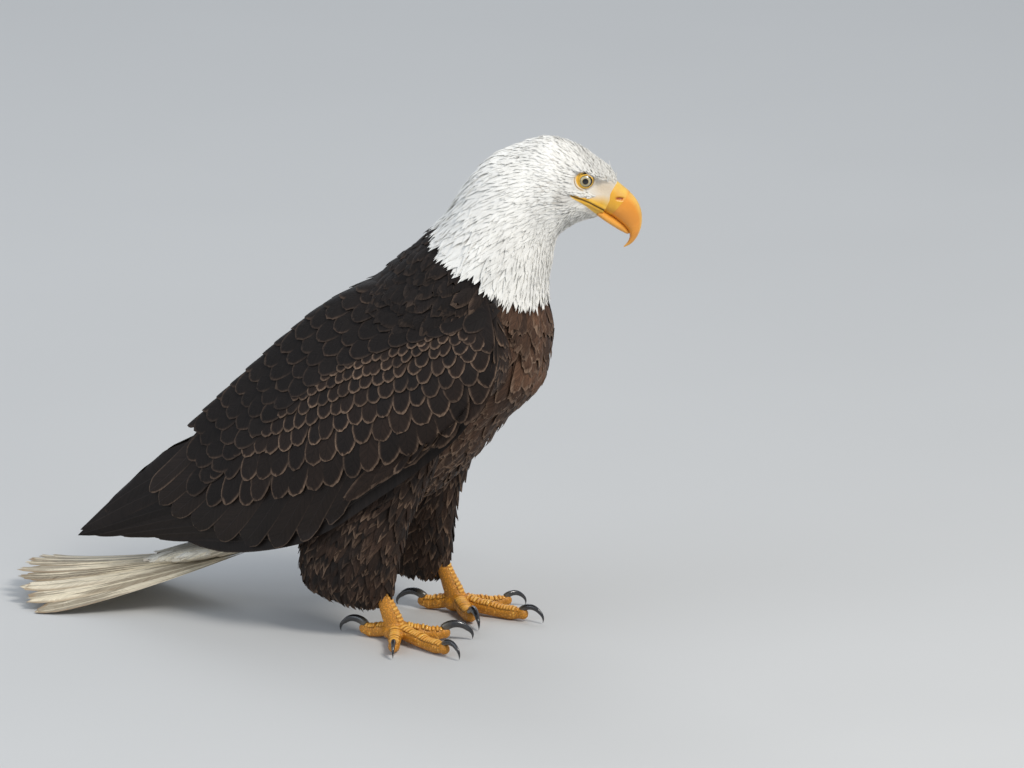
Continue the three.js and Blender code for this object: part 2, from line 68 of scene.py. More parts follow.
# Ribs: turn; back s, z; front s, z; half width; how far the widest place lies towards the front.
BODY = np.array([
    [1, 93.5, 468, 77, 433.5, 15.5, 0.1],
    [1, 87, 481.5, 70, 431.5, 21.5, 0.06],
    [1, 72, 493.5, 58, 428.5, 29.5, 0.03],
    [1, 54, 505.5, 46, 422.5, 36, 0.05],
    [1, 25, 513.5, 37, 416, 40, 0.1],
    [1, -8, 504.5, 32, 408, 42, 0.1],
    [0.96, -34.9, 490.5, 30.4, 400, 44.5, 0.06],
    [0.86, -57.6, 464.7, 28.8, 388.9, 49, 0.02],
    [0.6, -77.6, 433.9, 25.5, 370.7, 60, 0],
    [0.28, -101, 407, 24.2, 346.5, 69, 0],
    [0, -135, 376, 25.8, 304.2, 79, 0.08],
    [0, -182, 334, 16.3, 258.5, 82, 0.12],
    [0, -225, 291, -18.2, 221.6, 82, 0.12],
    [0, -254.5, 237.9, -47.8, 184.5, 78, 0.1],
    [0, -277.4, 190.6, -89.9, 142.8, 66, 0],
    [0, -290.8, 152, -153.1, 113.8, 54, 0],
    [0, -299.4, 121.3, -215.3, 89.7, 43, 0],
    [0, -306.1, 96.5, -271.7, 67.4, 31, 0],
])
LAST_RIB = len(BODY) - 1
HEAD_RIBS = 4  # the ribs before this one are the head's
# How far the skin lies inside the plumage's outline at each rib.
COAT = np.array([0.3, 1.2, 2.2, 3, 4, 5, 6.5, 8, 9, 9, 9, 9, 9, 9, 9, 9, 8, 6])
# Folded wing's outer face: upper edge, lower edge, bulge between them (right wing, y mirrored).
WING = np.array([
    [92, 58, 388, 106, 88, 318, 7],
    [76, 44, 392, 97, 97, 280, 16],
    [42, 35, 387, 63, 102, 231, 25],
    [-6, 29, 372, 18, 105, 193, 30],
    [-60, 27, 353, -26, 105, 161, 30],
    [-107, 25, 326, -68, 103, 131, 28],
    [-149, 24, 291, -108, 97, 110, 24],
    [-187, 23, 254, -150, 86, 97, 19],
    [-222, 22, 219, -192, 70, 88, 13],
    [-254, 20, 186, -232, 53, 81, 9],
    [-285, 18, 154, -272, 39, 74, 6],
    [-316, 16, 124, -308, 29, 67, 4],
    [-346, 14, 95, -342, 22, 61, 2.5],
    [-374, 13, 70, -374, 17, 56, 1.5],
])
LEFT_WRIST_BACK = 9
ABOVE_FLOOR, TAIL_ABOVE_FLOOR = 0.05, 0.06  # least heights of claws and plates, and of the tail
SKIN_UNDER_COVERTS, WING_DEPTH, LEAST_WING_DEPTH = 7.5, 21, 11
SHIELD_EDGE = np.array([1, 1, 0.98, 0.93, 0.87, 0.83, 0.8, 0.76, 0.72, 0.68])
SECONDARIES = np.array([
    [3.2, 0.7, 5.1, 1.02], [3.9, 0.66, 5.9, 1.04], [4.6, 0.62, 6.7, 1.04], [5.3, 0.58, 7.5, 1.02],
    [6, 0.54, 8.3, 0.98], [6.6, 0.46, 9, 0.87], [7.1, 0.36, 9.6, 0.73], [7.4, 0.26, 10, 0.55],
    [7.5, 0.15, 10.3, 0.36],
])
PRIMARIES = np.array([
    [1.6, 0.97, 9.4, 1.02], [2.6, 0.9, 10.5, 0.96], [3.6, 0.84, 11.5, 0.9], [4.6, 0.77, 12.3, 0.8],
    [5.6, 0.68, 13, 0.62], [6.6, 0.54, 12.9, 0.3], [7.2, 0.38, 12, 0.12],
])
# Feathered thigh: height, rear, front, middle, half width.
THIGH = np.array([
    [205, -88, 40, 49, 32], [165, -97, 22, 54, 35], [130, -104, 7, 57, 34], [95, -109, -2, 60, 29],
    [68, -109, -6, 61, 23], [50, -103, -9, 61, 18], [41, -90, -13, 61, 13], [35, -72, -20, 61, 8],
])
TAIL_LENGTH, TAIL_FEATHERS, TAIL_ARCH = 245, 12, 26
TAIL_FAN = math.radians(19)
TAIL_ROOT = (-186, 66, 20)  # x, z and half width
HUB, ANKLE_BACK, ANKLE_Z = 14, 32, 86
# Toes: heading, length, radius, claw length, claw radius; digits 1 to 4.
TOES = {
    -1: [(170, 34, 8.6, 37, 4.6), (21, 47, 8.8, 37, 4.7), (-30, 74, 8.6, 31, 3.6), (-72, 50, 8, 27, 3.4)],
    1: [(180, 34, 8.6, 37, 4.6), (-53, 47, 8.8, 37, 4.7), (-9, 74, 8.6, 31, 3.6), (36, 50, 8, 27, 3.4)],
}
TOE_ROWS = np.array([[0.1, 1, 1], [0.3, 0.88, 0.92], [0.46, 1, 1], [0.62, 0.84, 0.88], [0.8, 0.94, 0.97],
                     [1, 0.56, 0.6]])
# Bill sections in the head's middle plane: upper edge, lower edge, half width.
UPPER_BILL = np.array([
    [93.5, 467.5, 78, 439.4, 14.5], [106, 456.8, 86, 434.3, 13], [113, 448.4, 93.5, 428.8, 11.4],
    [117.2, 438, 99.5, 423.6, 9.4], [118, 427.5, 103.8, 418.6, 7.4], [116.2, 417.8, 105.8, 413, 5.4],
    [112.2, 409.6, 104.8, 407.8, 3.6], [107, 403.8, 102.4, 404, 2.1], [100.4, 400.4, 99.8, 401.2, 0.6],
])
CERE_END = 0.95
LOWER_BILL = np.array([
    [79.2, 438.4, 75.6, 432.2, 12.6], [86, 433.4, 82, 427.2, 10.8], [93.3, 427.9, 89.6, 422, 8.8],
    [99.2, 422.6, 97, 417.4, 6.6], [103.2, 417.6, 103, 414.2, 3.6],
])
# The line of the closed mouth from its corner forward, as s and z.
MOUTH = np.array([[44, 463.5], [48.4, 461.3], [59.1, 456], [66, 452], [78.2, 443.1], [88, 435.5]])
# The edge of the brow ridge, as s and z.
BROW = np.array([[48, 484], [61, 484.6], [66, 482], [75, 475.5], [92, 466]])
LOCKS = 19  # pointed locks round the lower border of the white
NAPE_TO_THROAT = np.array([8.55, 8.75, 9.0, 9.3, 9.15])  # rib where the white ends, back to front


# ---------------- settings
Tint = partial(FloatVectorProperty, subtype="COLOR", min=0, max=1)


class EaglePlumageSettings(PropertyGroup):
    """Colours and lie of the plumage."""

    white: Tint(name="White", description="Head, neck and tail", default=(0.86, 0.845, 0.8))
    # The stain colour tints the face's stains, and on the tail it also paints the shade between the feathers.
    stain: Tint(name="Stain", description="Brown wear on the tail and face", default=(0.2, 0.135, 0.07))
    dark: Tint(name="Dark brown", description="Back, wings and legs", default=(0.0135, 0.0098, 0.0082))
    # Warm brown is the breast's colour as it looks in sunlight: partly its own warmer tone and partly painted
    # sunlight.
    warm: Tint(name="Warm brown", description="Breast", default=(0.125, 0.064, 0.037))
    rim: Tint(name="Rim", description="Pale edge of a brown feather", default=(0.235, 0.155, 0.105))
    lift: FloatProperty(name="Lift", description="How far feather tips stand off the coat",
                        default=0.0012, unit="LENGTH", min=0, max=0.005)
    seed: IntProperty(name="Seed", description="Start of the feathers' small differences", default=11)


class EagleHornSettings(PropertyGroup):
    """Colours of the bare parts."""

    bill: Tint(name="Bill", description="Horn of the bill", default=(0.86, 0.33, 0.035))
    cere: Tint(name="Cere", description="Soft yellow at the bill's base", default=(0.84, 0.44, 0.03))
    foot: Tint(name="Foot", description="Skin of the feet", default=(0.76, 0.31, 0.025))
    scute: Tint(name="Scute", description="Plates of the feet", default=(0.9, 0.49, 0.085))
    claw: Tint(name="Claw", description="Claws", default=(0.012, 0.012, 0.014))
    iris: Tint(name="Iris", description="Iris of the eye", default=(0.54, 0.49, 0.31))


class EagleStageSettings(PropertyGroup):
    """Floor, lights and camera."""

    floor: Tint(name="Floor", description="Colour of the floor", default=(0.6, 0.6, 0.59))
    key: FloatProperty(name="Key light", description="Power of the key light in watts",
                       default=95.0, min=0)
    fill: FloatProperty(name="Fill light", description="Power of the fill light in watts",
                        default=26.0, min=0)
    azimuth: FloatProperty(name="Azimuth", description="Camera's turn towards the bird's front",
                           default=math.radians(20), subtype="ANGLE")
    elevation: FloatProperty(name="Elevation", description="Camera's height as an angle",
                             default=math.radians(15), subtype="ANGLE")
    distance: FloatProperty(name="Distance", description="Camera to the bird", default=20.0,
                            unit="LENGTH")


def settings():
    """The scene's settings of plumage, horn and stage."""
    scene = bpy.context.scene
    return scene.eagle_plumage, scene.eagle_horn, scene.eagle_stage


def seeded(number):
    """The random draws of one piece."""
    return np.random.default_rng(settings()[0].seed * 100 + number)


def shaded(colour, factor):
    """A colour times one factor, or times one for each channel."""
    return tuple(np.multiply(tuple(colour), factor))


def blended(share, a, b):
    """That share of colour a, and the rest of colour b."""
    return tuple(share * x + (1 - share) * y for x, y in zip(a, b))


# ---------------- shape functions
def stacked(*values):
    """Values side by side in a last axis."""
    return np.stack(np.broadcast_arrays(*values), -1)


def unit(vectors):
    """The same directions, each one long."""
    return vectors / np.maximum(np.linalg.norm(vectors, axis=-1, keepdims=True), 1e-9)


def along(rows, t):
    """Catmull-Rom through the rows of a table, at places t counted in rows; straight beyond its ends."""
    rows = np.asarray(rows, float)
    t = np.asarray(t, float)
    inside = np.clip(t, 0, len(rows) - 1)
    i = np.clip(np.floor(inside).astype(int), 0, len(rows) - 2)
    f, past = inside - i, t - inside
    a, b, c, d = (rows[np.clip(i + k, 0, len(rows) - 1)] for k in (-1, 0, 1, 2))
    if rows.ndim > 1:
        f, past = f[..., None], past[..., None]
    curve = b + 0.5 * f * (c - a + f * (2 * a - 5 * b + 4 * c - d + f * (3 * (b - c) + d - a)))
    return curve + past * (c - b)


def smooth(low, high, x):
    """0 below low, 1 above high and a smooth turn between."""
    f = np.clip((x - low) / (high - low), 0, 1)
    return f * f * (3 - 2 * f)


def in_head(s, out, z, turn=1.0):
    """Points ahead of, beside and above the neck's foot, turned with the head."""
    yaw = np.asarray(turn) * HEAD_TURN
    return stacked(NECK_X + s * np.cos(yaw) - out * np.sin(yaw), s * np.sin(yaw) + out * np.cos(yaw), z)


def from_head(p):
    """s, out and z of points of the turned head."""
    x, y = p[..., 0] - NECK_X, p[..., 1]
    c, n = math.cos(HEAD_TURN), math.sin(HEAD_TURN)
    return x * c + y * n, y * c - x * n, p[..., 2]


def tilted(s, z, cs, cz, tilt):
    """Offsets from a middle, along and across a line tilted upwards."""
    c, n = math.cos(tilt), math.sin(tilt)
    return (s - cs) * c + (z - cz) * n, (z - cz) * c - (s - cs) * n


def bump(s, z, cs, cz, ws, wz, tilt=0.0):
    """A smooth hill of height 1 round cs, cz."""
    a, b = tilted(s, z, cs, cz, tilt)
    return np.exp(-((a / ws) ** 2) - (b / wz) ** 2)


def face_relief(s, z):
    """Swelling of the brow and cheek, and the hollow before the eye."""
    return (3.6 * bump(s, z, 70, 483, 21, 5, -0.5) - 4.4 * bump(s, z, 69, 468, 17, 8, -0.45)
            + 1.5 * bump(s, z, 45, 448, 14, 12))


def rib_place(bs, bz, fs, fz, c, grow):
    """s and z on a rib between its back (c is 1) and its front (c is -1), grown outwards."""
    reach = 1 + 2 * grow / np.maximum(np.hypot(bs - fs, bz - fz), 2)
    return (bs + fs) / 2 + (bs - fs) / 2 * c * reach, (bz + fz) / 2 + (bz - fz) / 2 * c * reach


def body_point(t, angle, grow=0.0):
    """A point of head, neck or trunk: t counted in ribs, angle 0 at the back and pi at the front."""
    turn, bs, bz, fs, fz, half, low = np.moveaxis(along(BODY, t), -1, 0)
    c, o = np.cos(angle), np.sin(angle)
    s, z = rib_place(bs, bz, fs, fz, c, grow)
    out = (half + grow) * o * (1 - low * c) + o * face_relief(s, z) * (1 - smooth(3.6, 4.6, t))
    if np.min(t) < HEAD_RIBS:
        above, share = near_line(s, z, BROW)
        ledge = (smooth(-1.2, 0.6, above) * (1 - smooth(1.5, 11, above)) * smooth(0, 0.2, share)
                 * smooth(0, 0.25, 1 - share))
        out = out + np.sign(o) * 2.4 * ledge * (t < HEAD_RIBS) * smooth(5, 12, np.abs(out))
    return in_head(s, out, z, turn)


def wing_point(side, t, f):
    """A point of the wing's outer face: t in rows from the wrist back, f from its upper edge (0) to
    its lower edge (1). Above the upper edge it turns in over the back."""
    row = along(WING, t)
    f = np.asarray(f, float)
    down = row[..., 3:6] - row[..., :3]
    x, y, z = np.moveaxis(row[..., :3] + down * np.clip(f, 0, None)[..., None], -1, 0)
    inwards = np.clip(-f, 0, None) * np.linalg.norm(down, axis=-1)
    swell = row[..., 6] * np.sin(math.pi * np.clip(f, 0, 1)) ** 0.8
    back = LEFT_WRIST_BACK * np.clip(1 - t / 4, 0, None) if side > 0 else 0.0
    return stacked(x - back, side * (y + swell - inwards), z + 0.12 * inwards)


def thigh_point(side, a, angle):
    """A point of a thigh's outline: a counted in rows down it."""
    z, rear, front, y, half = np.moveaxis(along(THIGH, a), -1, 0)
    x = (rear + front) / 2 + side * STEP * (1 - z / 260) + (front - rear) / 2 * np.cos(angle)
    return stacked(x, side * y + half * np.sin(angle), z)


def tail_point(t, k):
    """t along the tail feathers, k from -1 at the right edge to 1 at the left."""
    fan = TAIL_FAN * k
    length = TAIL_LENGTH * (1 - 0.13 * k * k) * t
    height = (np.clip(1 - t, 0, None) ** 1.25 * TAIL_ROOT[1]
              + t * TAIL_ARCH * (1 - np.clip(np.abs(k), 0, 1) ** 2.2) + 0.5)
    return stacked(TAIL_ROOT[0] - np.cos(fan) * length, TAIL_ROOT[2] * k + np.sin(fan) * length, height)


def foot_point(side, z):
    """A point of the foot's upright axis at a height."""
    return stacked(float(side * STEP - 5), float(side * STANCE), np.asarray(z, float))


def circle(sides):
    """Angles all round, from 0."""
    return np.linspace(0, 2 * math.pi, sides, endpoint=False)


def grid_of(a, b):
    """Every a with every b, as two arrays (a, b)."""
    return np.meshgrid(a, b, indexing="ij")


class Surface:
    """A curved sheet of the bird: point gives a place on it, and facing is the sign that makes
    its normal point outwards."""

    def __init__(self, point, facing, low, high):
        self.point, self.facing = point, facing
        self.low, self.high = np.array(low, float), np.array(high, float)

    def partials(self, a, b):
        e = 0.004
        pa = (self.point(a + e, b) - self.point(a - e, b)) / (2 * e)
        pb = (self.point(a, b + e) - self.point(a, b - e)) / (2 * e)
        return pa, pb, unit(np.cross(pa, pb) * self.facing)

    def faced(self, a, b, outwards):
        """The same surface, its normal at a, b turned to the side that outwards points to."""
        if (self.partials(np.array([a]), np.array([b]))[2][0] * outwards).sum() < 0:
            self.facing = -self.facing
        return self

    def lifted(self, a, b, height):
        return self.point(a, b) + self.partials(a, b)[2] * height[..., None]

    def shift(self, pa, pb, move):
        """Changes of a and b that move a place by a vector of the tangent plane."""
        dot = lambda u, v: (u * v).sum(-1)
        e, f, g = dot(pa, pa), dot(pa, pb), dot(pb, pb)
        u, v = dot(move, pa), dot(move, pb)
        det = np.maximum(e * g - f * f, 1e-6)
        return (g * u - f * v) / det, (e * v - f * u) / det

    def followed(self, a, b, heading, length, steps=6):
        """Places along straight paths over the surface, steps + 1 of them for each path."""
        path = [(a, b)]
        for _ in range(steps):
            pa, pb, normal = self.partials(a, b)
            heading = unit(heading - (heading * normal).sum(-1, keepdims=True) * normal)
            da, db = self.shift(pa, pb, heading * (length / steps)[:, None])
            a, b = a + da, b + db
            path.append((a, b))
        return np.moveaxis(np.array(path), 0, -1)

    def unwrapped(self, a, b):
        """A place as 0 to 1 each way."""
        place = (stacked(a, b) - self.low) / (self.high - self.low)
        return np.clip(place, 0, 1) * 0.96 + 0.02


SIDES = ((-1, "right"), (1, "left"))
BODY_SKIN = Surface(body_point, -1, (0, -math.pi), (LAST_RIB, math.pi))
WING_SKIN = {side: Surface(partial(wing_point, side), -side, (-0.5, -0.2), (13.5, 1.2)) for side, _ in SIDES}
THIGH_SKIN = {side: Surface(partial(thigh_point, side), 1, (-1, -math.pi), (8, math.pi)) for side, _ in SIDES}
TAIL_SKIN = Surface(tail_point, -1, (-0.2, -1.3), (1.2, 1.3))

eye_low, eye_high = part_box("eye_right")
SHIFT = np.array((eye_low + eye_high) / 2) - in_head(EYE["s"], -EYE["out"], EYE["z"]) * MM


def placed(points):
    """Points of the bird's own frame in millimetres as points of the row frame in metres."""
    return np.asarray(points) * MM + SHIFT


# ---------------- meshes
def linked(name, data):
    """A new object of the scene that holds a mesh, lamp or camera."""
    thing = bpy.data.objects.new(name, data)
    bpy.context.scene.collection.objects.link(thing)
    return thing


def new_object(name, vertices, faces, material):
    """A smooth-shaded mesh object from placed vertices and a list of faces."""
    mesh = bpy.data.meshes.new(name)
    mesh.from_pydata(vertices.tolist(), [], [list(map(int, f)) for f in faces])
    mesh.validate()
    mesh.materials.append(material)
    mesh.polygons.foreach_set("use_smooth", [True] * len(mesh.polygons))
    return linked(name, mesh)


def mark(mesh, name, values):
    """Gives each point of a mesh a number, or a colour of four."""
    values = np.asarray(values, np.float32)
    kind, key = ("FLOAT_COLOR", "color") if values.shape[1:] == (4,) else ("FLOAT", "value")
    mesh.attributes.new(name, kind, "POINT").data.foreach_set(key, values.ravel())


def unwrap(mesh, name, places):
    """Gives a mesh a UV map from one place for each of its points."""
    corners = np.zeros(len(mesh.loops), np.int32)
    mesh.loops.foreach_get("vertex_index", corners)
    layer = mesh.uv_layers.new(name=name, do_init=False)
    layer.uv.foreach_set("vector", np.asarray(places)[corners].astype(np.float32).ravel())


def grid_faces(grid, turned=False):
    """Four-sided faces of a grid of point numbers."""
    corners = [grid[:-1, :-1], grid[:-1, 1:], grid[1:, 1:], grid[1:, :-1]]
    if turned:
        corners[1], corners[3] = corners[3], corners[1]
    return np.stack(corners, -1).reshape(-1, 4).tolist()


def loft(rings):
    """Points and faces that join rings (rows, sides), with a point closing each end."""
    rows, sides = rings.shape[:2]
    start, end = rows * sides, rows * sides + 1
    grid = np.arange(start).reshape(rows, sides)
    grid = np.hstack([grid, grid[:, :1]])
    faces = grid_faces(grid)
    faces += [[start, grid[0, j + 1], grid[0, j]] for j in range(sides)]
    faces += [[end, grid[-1, j], grid[-1, j + 1]] for j in range(sides)]
    return np.concatenate([rings.reshape(-1, 3), rings[:1].mean(1), rings[-1:].mean(1)]), faces


def turned_out(points, faces):
    """The faces, turned round if they enclose a negative volume."""
    triangles = np.array([(f[0], f[k], f[k + 1]) for f in faces for k in range(1, len(f) - 1)])
    a, b, c = np.moveaxis(points[triangles], 1, 0)
    return faces if (a * np.cross(b, c)).sum() > 0 else [f[::-1] for f in faces]


def solid(name, parts, material):
    """One mesh object of one or more lofts."""
    points, faces = np.zeros((0, 3)), []
    for rings in parts:
        own, around = loft(rings)
        faces += [[i + len(points) for i in f] for f in turned_out(own, around)]
        points = np.concatenate([points, own])
    return new_object(name, placed(points), faces, material)


def tube_rings(middles, across, up, wide, tall, sides=32):
    """Oval rings round the middles of a tube."""
    angle = circle(sides)[None, :, None]
    middles, across, up = (np.broadcast_to(v, middles.shape)[:, None] for v in (middles, across, up))
    return (middles + across * np.asarray(wide)[:, None, None] * np.cos(angle)
            + up * np.asarray(tall)[:, None, None] * np.sin(angle))


# ---------------- feathers
PATCH = 0.003  # width of a feather's or plate's patch of the OFBake map


class FeatherForm:
    """The mesh of one feather: u along it, v across it from -1 to 1, the numbers of its faces'
    corners, and how many each face has. keel marks the points of the underside below the shaft."""

    def __init__(self, rows, columns, outline, keel=True):
        rows = np.asarray(rows, float)
        n, width, under = len(rows), outline(rows), len(rows) * keel
        self.u = np.concatenate([np.repeat(rows, columns), [1.0], rows[:under]])
        self.v = np.concatenate([np.tile(np.linspace(-1, 1, columns), n), np.zeros(1 + under)])
        self.width = np.concatenate([np.repeat(width, columns), [0.0], width[:under]])
        self.keel = np.concatenate([np.zeros(n * columns + 1), np.ones(under)])
        tip = n * columns
        top = np.arange(tip).reshape(n, columns)
        below = np.stack([top[:, 0]] + [tip + 1 + np.arange(n)] * keel + [top[:, -1]], 1)
        faces = grid_faces(top, turned=True) + [(top[-1, j], tip, top[-1, j + 1]) for j in range(columns - 1)]
        faces += grid_faces(below) + [(below[-1, j], below[-1, j + 1], tip) for j in range(1 + keel)]
        faces.append([*top[0], *below[0, 1:-1]])
        self.corners = np.concatenate(faces)
        self.counts = np.array([len(f) for f in faces])


def widening(u, start, full):
    """Half width towards a feather's root, as a share of its greatest."""
    return start + (1 - start) * np.sin(np.clip(u / full, 0, 1) * math.pi / 2)


def rounded(u):
    """Half width of a round-ended feather."""
    return widening(u, 0.45, 0.55) * np.sqrt(1 - np.clip((u - 0.62) / 0.38, 0, 1) ** 2.2)


def lance(u):
    """Half width of a pointed hackle."""
    return widening(u, 0.5, 0.4) * (1 - np.clip((u - 0.4) / 0.6, 0, 1) ** 1.5)


def quill(u):
    """Half width of a long flight feather."""
    return widening(u, 0.55, 0.3) * np.sqrt(1 - np.clip((u - 0.84) / 0.16, 0, 1) ** 2)


FACE_FORM = FeatherForm([0, 0.45, 0.8], 3, lance, keel=False)
HACKLE_FORM = FeatherForm([0, 0.2, 0.42, 0.64, 0.84], 3, lance, keel=False)
LEG_FORM = FeatherForm([0, 0.25, 0.5, 0.7, 0.86], 5, lance)
CONTOUR_FORM = FeatherForm([0, 0.25, 0.48, 0.66, 0.8, 0.9, 0.97], 5, rounded)
COVERT_FORM = FeatherForm([0, 0.2, 0.4, 0.56, 0.69, 0.79, 0.87, 0.93, 0.975], 7, rounded)
VANE_FORM = FeatherForm([*np.linspace(0, 0.84, 22), 0.88, 0.915, 0.945, 0.97, 0.988], 9, quill)


class Plumage:
    """Gathers batches of feathers and turns them into one mesh piece."""

    def __init__(self, number):
        self.rng, self.lift, self.batches = seeded(number), settings()[0].lift / MM, []

    def lay(self, surface, form, a, b, heading, length, width, low, high, tone, dome=0.5, curl=0.0, power=1.0,
            ragged=0.03, roll=0.35, thick=0.5, from_tip=False, lean=0.0):
        """Feathers whose roots, or tips, are at places a, b of a surface. heading is the wished
        direction of each; low and high are the heights of root and tip over the surface, and lean
        is how far one edge lies higher than the shaft."""
        n = len(a)
        length, width, low, high, curl, lean = (
            np.broadcast_to(np.asarray(x, float), (n,))[:, None]
            for x in (length, width, low, high, curl, lean))
        path_a, path_b = surface.followed(a, b, -heading if from_tip else heading, length[:, 0])
        if from_tip:
            path_a, path_b = path_a[:, ::-1], path_b[:, ::-1]
        steps = path_a.shape[1] - 1
        pa, pb, normal = surface.partials(path_a, path_b)
        run = unit(np.gradient(surface.point(path_a, path_b), axis=1))
        side_a, side_b = surface.shift(pa, pb, np.cross(normal, run))
        u, v, w = form.u[None], form.v[None], form.width[None]
        reach = u * (1 + ragged * self.rng.standard_normal((n, len(form.u))) * (u > 0.7))
        cell = np.clip(np.floor(reach * steps).astype(int), 0, steps - 1)
        past = reach * steps - cell
        at = lambda rows: (np.take_along_axis(rows, cell, 1) * (1 - past)
                           + np.take_along_axis(rows, cell + 1, 1) * past)
        half = v * w * width / 2
        y = half + curl * u * u * length
        tilt = lean + self.rng.uniform(-1, 1, (n, 1)) * roll
        height = (low + (high - low) * u ** power + dome * (1 - v * v) * (0.3 + w) + tilt * v
                  - form.keel[None] * thick)
        points = surface.lifted(at(path_a) + y * at(side_a), at(path_b) + y * at(side_b), height)
        self.add(surface, form, points, path_a[:, 0], path_b[:, 0], u * length, half, length, width, tone)

    def add(self, surface, form, points, a, b, x, y, length, width, tone):
        """Keeps a batch of feathers rooted at a, b, with x along and y across each in millimetres,
        and with its tone: how warm it is, and its rim's share."""
        n = len(points)
        warmth, rim_share = np.broadcast_to(tone, (n, 2)).T[..., None]
        chance = self.rng.uniform(0, 1, (n, 1))
        u, v, w = form.u[None], form.v[None], form.width[None]
        self.batches.append(dict(
            form=form, points=points, look=stacked(chance, warmth, rim_share, u), vane=stacked(y, x),
            rim=np.minimum((1 - np.abs(v)) * w * width / 2, (1 - u) * length),
            patch=surface.unwrapped(a, b)[:, None] + stacked(v * w / 2, u - 0.5) * PATCH))

    def piece(self, name, material):
        """Builds the mesh object and gives it its maps and attributes."""
        gather = lambda key, size: np.concatenate([batch[key].reshape(-1, size) for batch in self.batches])
        corners, counts, first = [], [], 0
        for batch in self.batches:
            n, m = batch["points"].shape[:2]
            corners.append((batch["form"].corners + first + np.arange(n)[:, None] * m).ravel())
            counts.append(np.tile(batch["form"].counts, n))
            first += n * m
        corners, counts = (np.concatenate(v).astype(np.int32) for v in (corners, counts))
        mesh = bpy.data.meshes.new(name)
        mesh.vertices.add(first)
        mesh.loops.add(len(corners))
        mesh.polygons.add(len(counts))
        mesh.vertices.foreach_set("co", placed(gather("points", 3)).astype(np.float32).ravel())
        mesh.loops.foreach_set("vertex_index", corners)
        mesh.polygons.foreach_set("loop_start", (np.cumsum(counts) - counts).astype(np.int32))
        mesh.polygons.foreach_set("loop_total", counts)
        mesh.polygons.foreach_set("use_smooth", np.ones(len(counts), bool))
        mesh.update(calc_edges=True)
        mesh.set_sharp_from_angle(angle=math.radians(75))
        mark(mesh, "look", gather("look", 4))
        mark(mesh, "rim", gather("rim", 1))
        unwrap(mesh, "Vane", gather("vane", 2))
        unwrap(mesh, "OFBake", gather("patch", 2))
        vane = mesh.uv_layers["Vane"]
        vane.active = vane.active_render = True
        mesh.materials.append(material)
        return linked(name, mesh)


def rows_over(surface, rng, a_range, gap_a, gap_b, b_range=(-math.pi, math.pi), jitter=0.22):
    """Places (a, b) in staggered rows: rows lie gap_a millimetres apart along a, and their places
    gap_b apart along b. Both gaps are functions of a."""
    places, a, row, e = [], a_range[0], 0, 0.01
    around, probe = np.linspace(*b_range, 49), np.linspace(*b_range, 9)
    while a <= a_range[1]:
        steps = np.linalg.norm(np.diff(surface.point(np.full(49, a), around), axis=0), axis=-1)
        total = steps.sum()
        count = max(3, int(round(total / gap_b(a))))
        share = (np.arange(count) + 0.5 * (row % 2)) / count
        share = share + rng.uniform(-jitter, jitter, count) / count
        b = np.interp(share * total, np.concatenate([[0], np.cumsum(steps)]), around)
        moved = surface.point(np.full(9, a + e), probe) - surface.point(np.full(9, a), probe)
        step = gap_a(a) / max(np.linalg.norm(moved, axis=-1).max() / e, 1e-6)
        places.append(stacked(a + rng.uniform(-jitter, jitter, count) * step, b))
        a, row = a + step, row + 1
    return np.concatenate(places).T


def fan_point(side, feathers, depth):
    """Surface function of a folded fan of flight feathers: a runs along them, b counts them."""
    def point(a, b):
        row = along(feathers, b)
        t = row[..., 0] + (row[..., 2] - row[..., 0]) * a
        f = row[..., 1] + (row[..., 3] - row[..., 1]) * a
        p = wing_point(side, t, f)
        p[..., 1] -= side * depth
        return p
    return point


def lay_fan(coat, surface, places, step, outer, low, high, rise, tone, edges=(0.5, 0.85), dome=0.5,
            thick=0.6, least=0.0, ragged=0.006):
    """Long feathers of a fan. outer is the side (-1 or 1 along b) on which each one's edge shows;
    rise lifts each over the one before it."""
    form = VANE_FORM
    u, v, w = form.u, form.v, form.width
    full = np.minimum(1, 2 * w)
    for n, place in enumerate(places):
        a = np.where(u > 0.86, u + ragged * coat.rng.standard_normal(len(u)), u)
        b = np.full_like(a, place)
        pa, pb, normal = surface.partials(a, b)
        side = np.cross(normal, unit(pa))
        across = (pb * side).sum(-1) * step
        towards = np.sign(across) * outer[n]
        half = np.maximum(np.abs(across), least) * np.where(v * towards > 0, *edges)
        y = v * w * half
        da, db = surface.shift(pa, pb, side * y[:, None])
        height = (low + (high - low) * u + rise * n + dome * (1 - v * v) * np.minimum(1, 3 * w)
                  - form.keel * thick * full)
        height = height - 0.5 * np.clip(-v * towards, 0, 1) * full
        root, tip = surface.point(np.array([0.0, 1.0]), np.full(2, place))
        length = np.linalg.norm(tip - root)
        coat.add(surface, form, surface.lifted(a + da, b + db, height)[None], [0.5], [place],
                 (u * length)[None], y[None], length, 2 * half[None], tone[n])


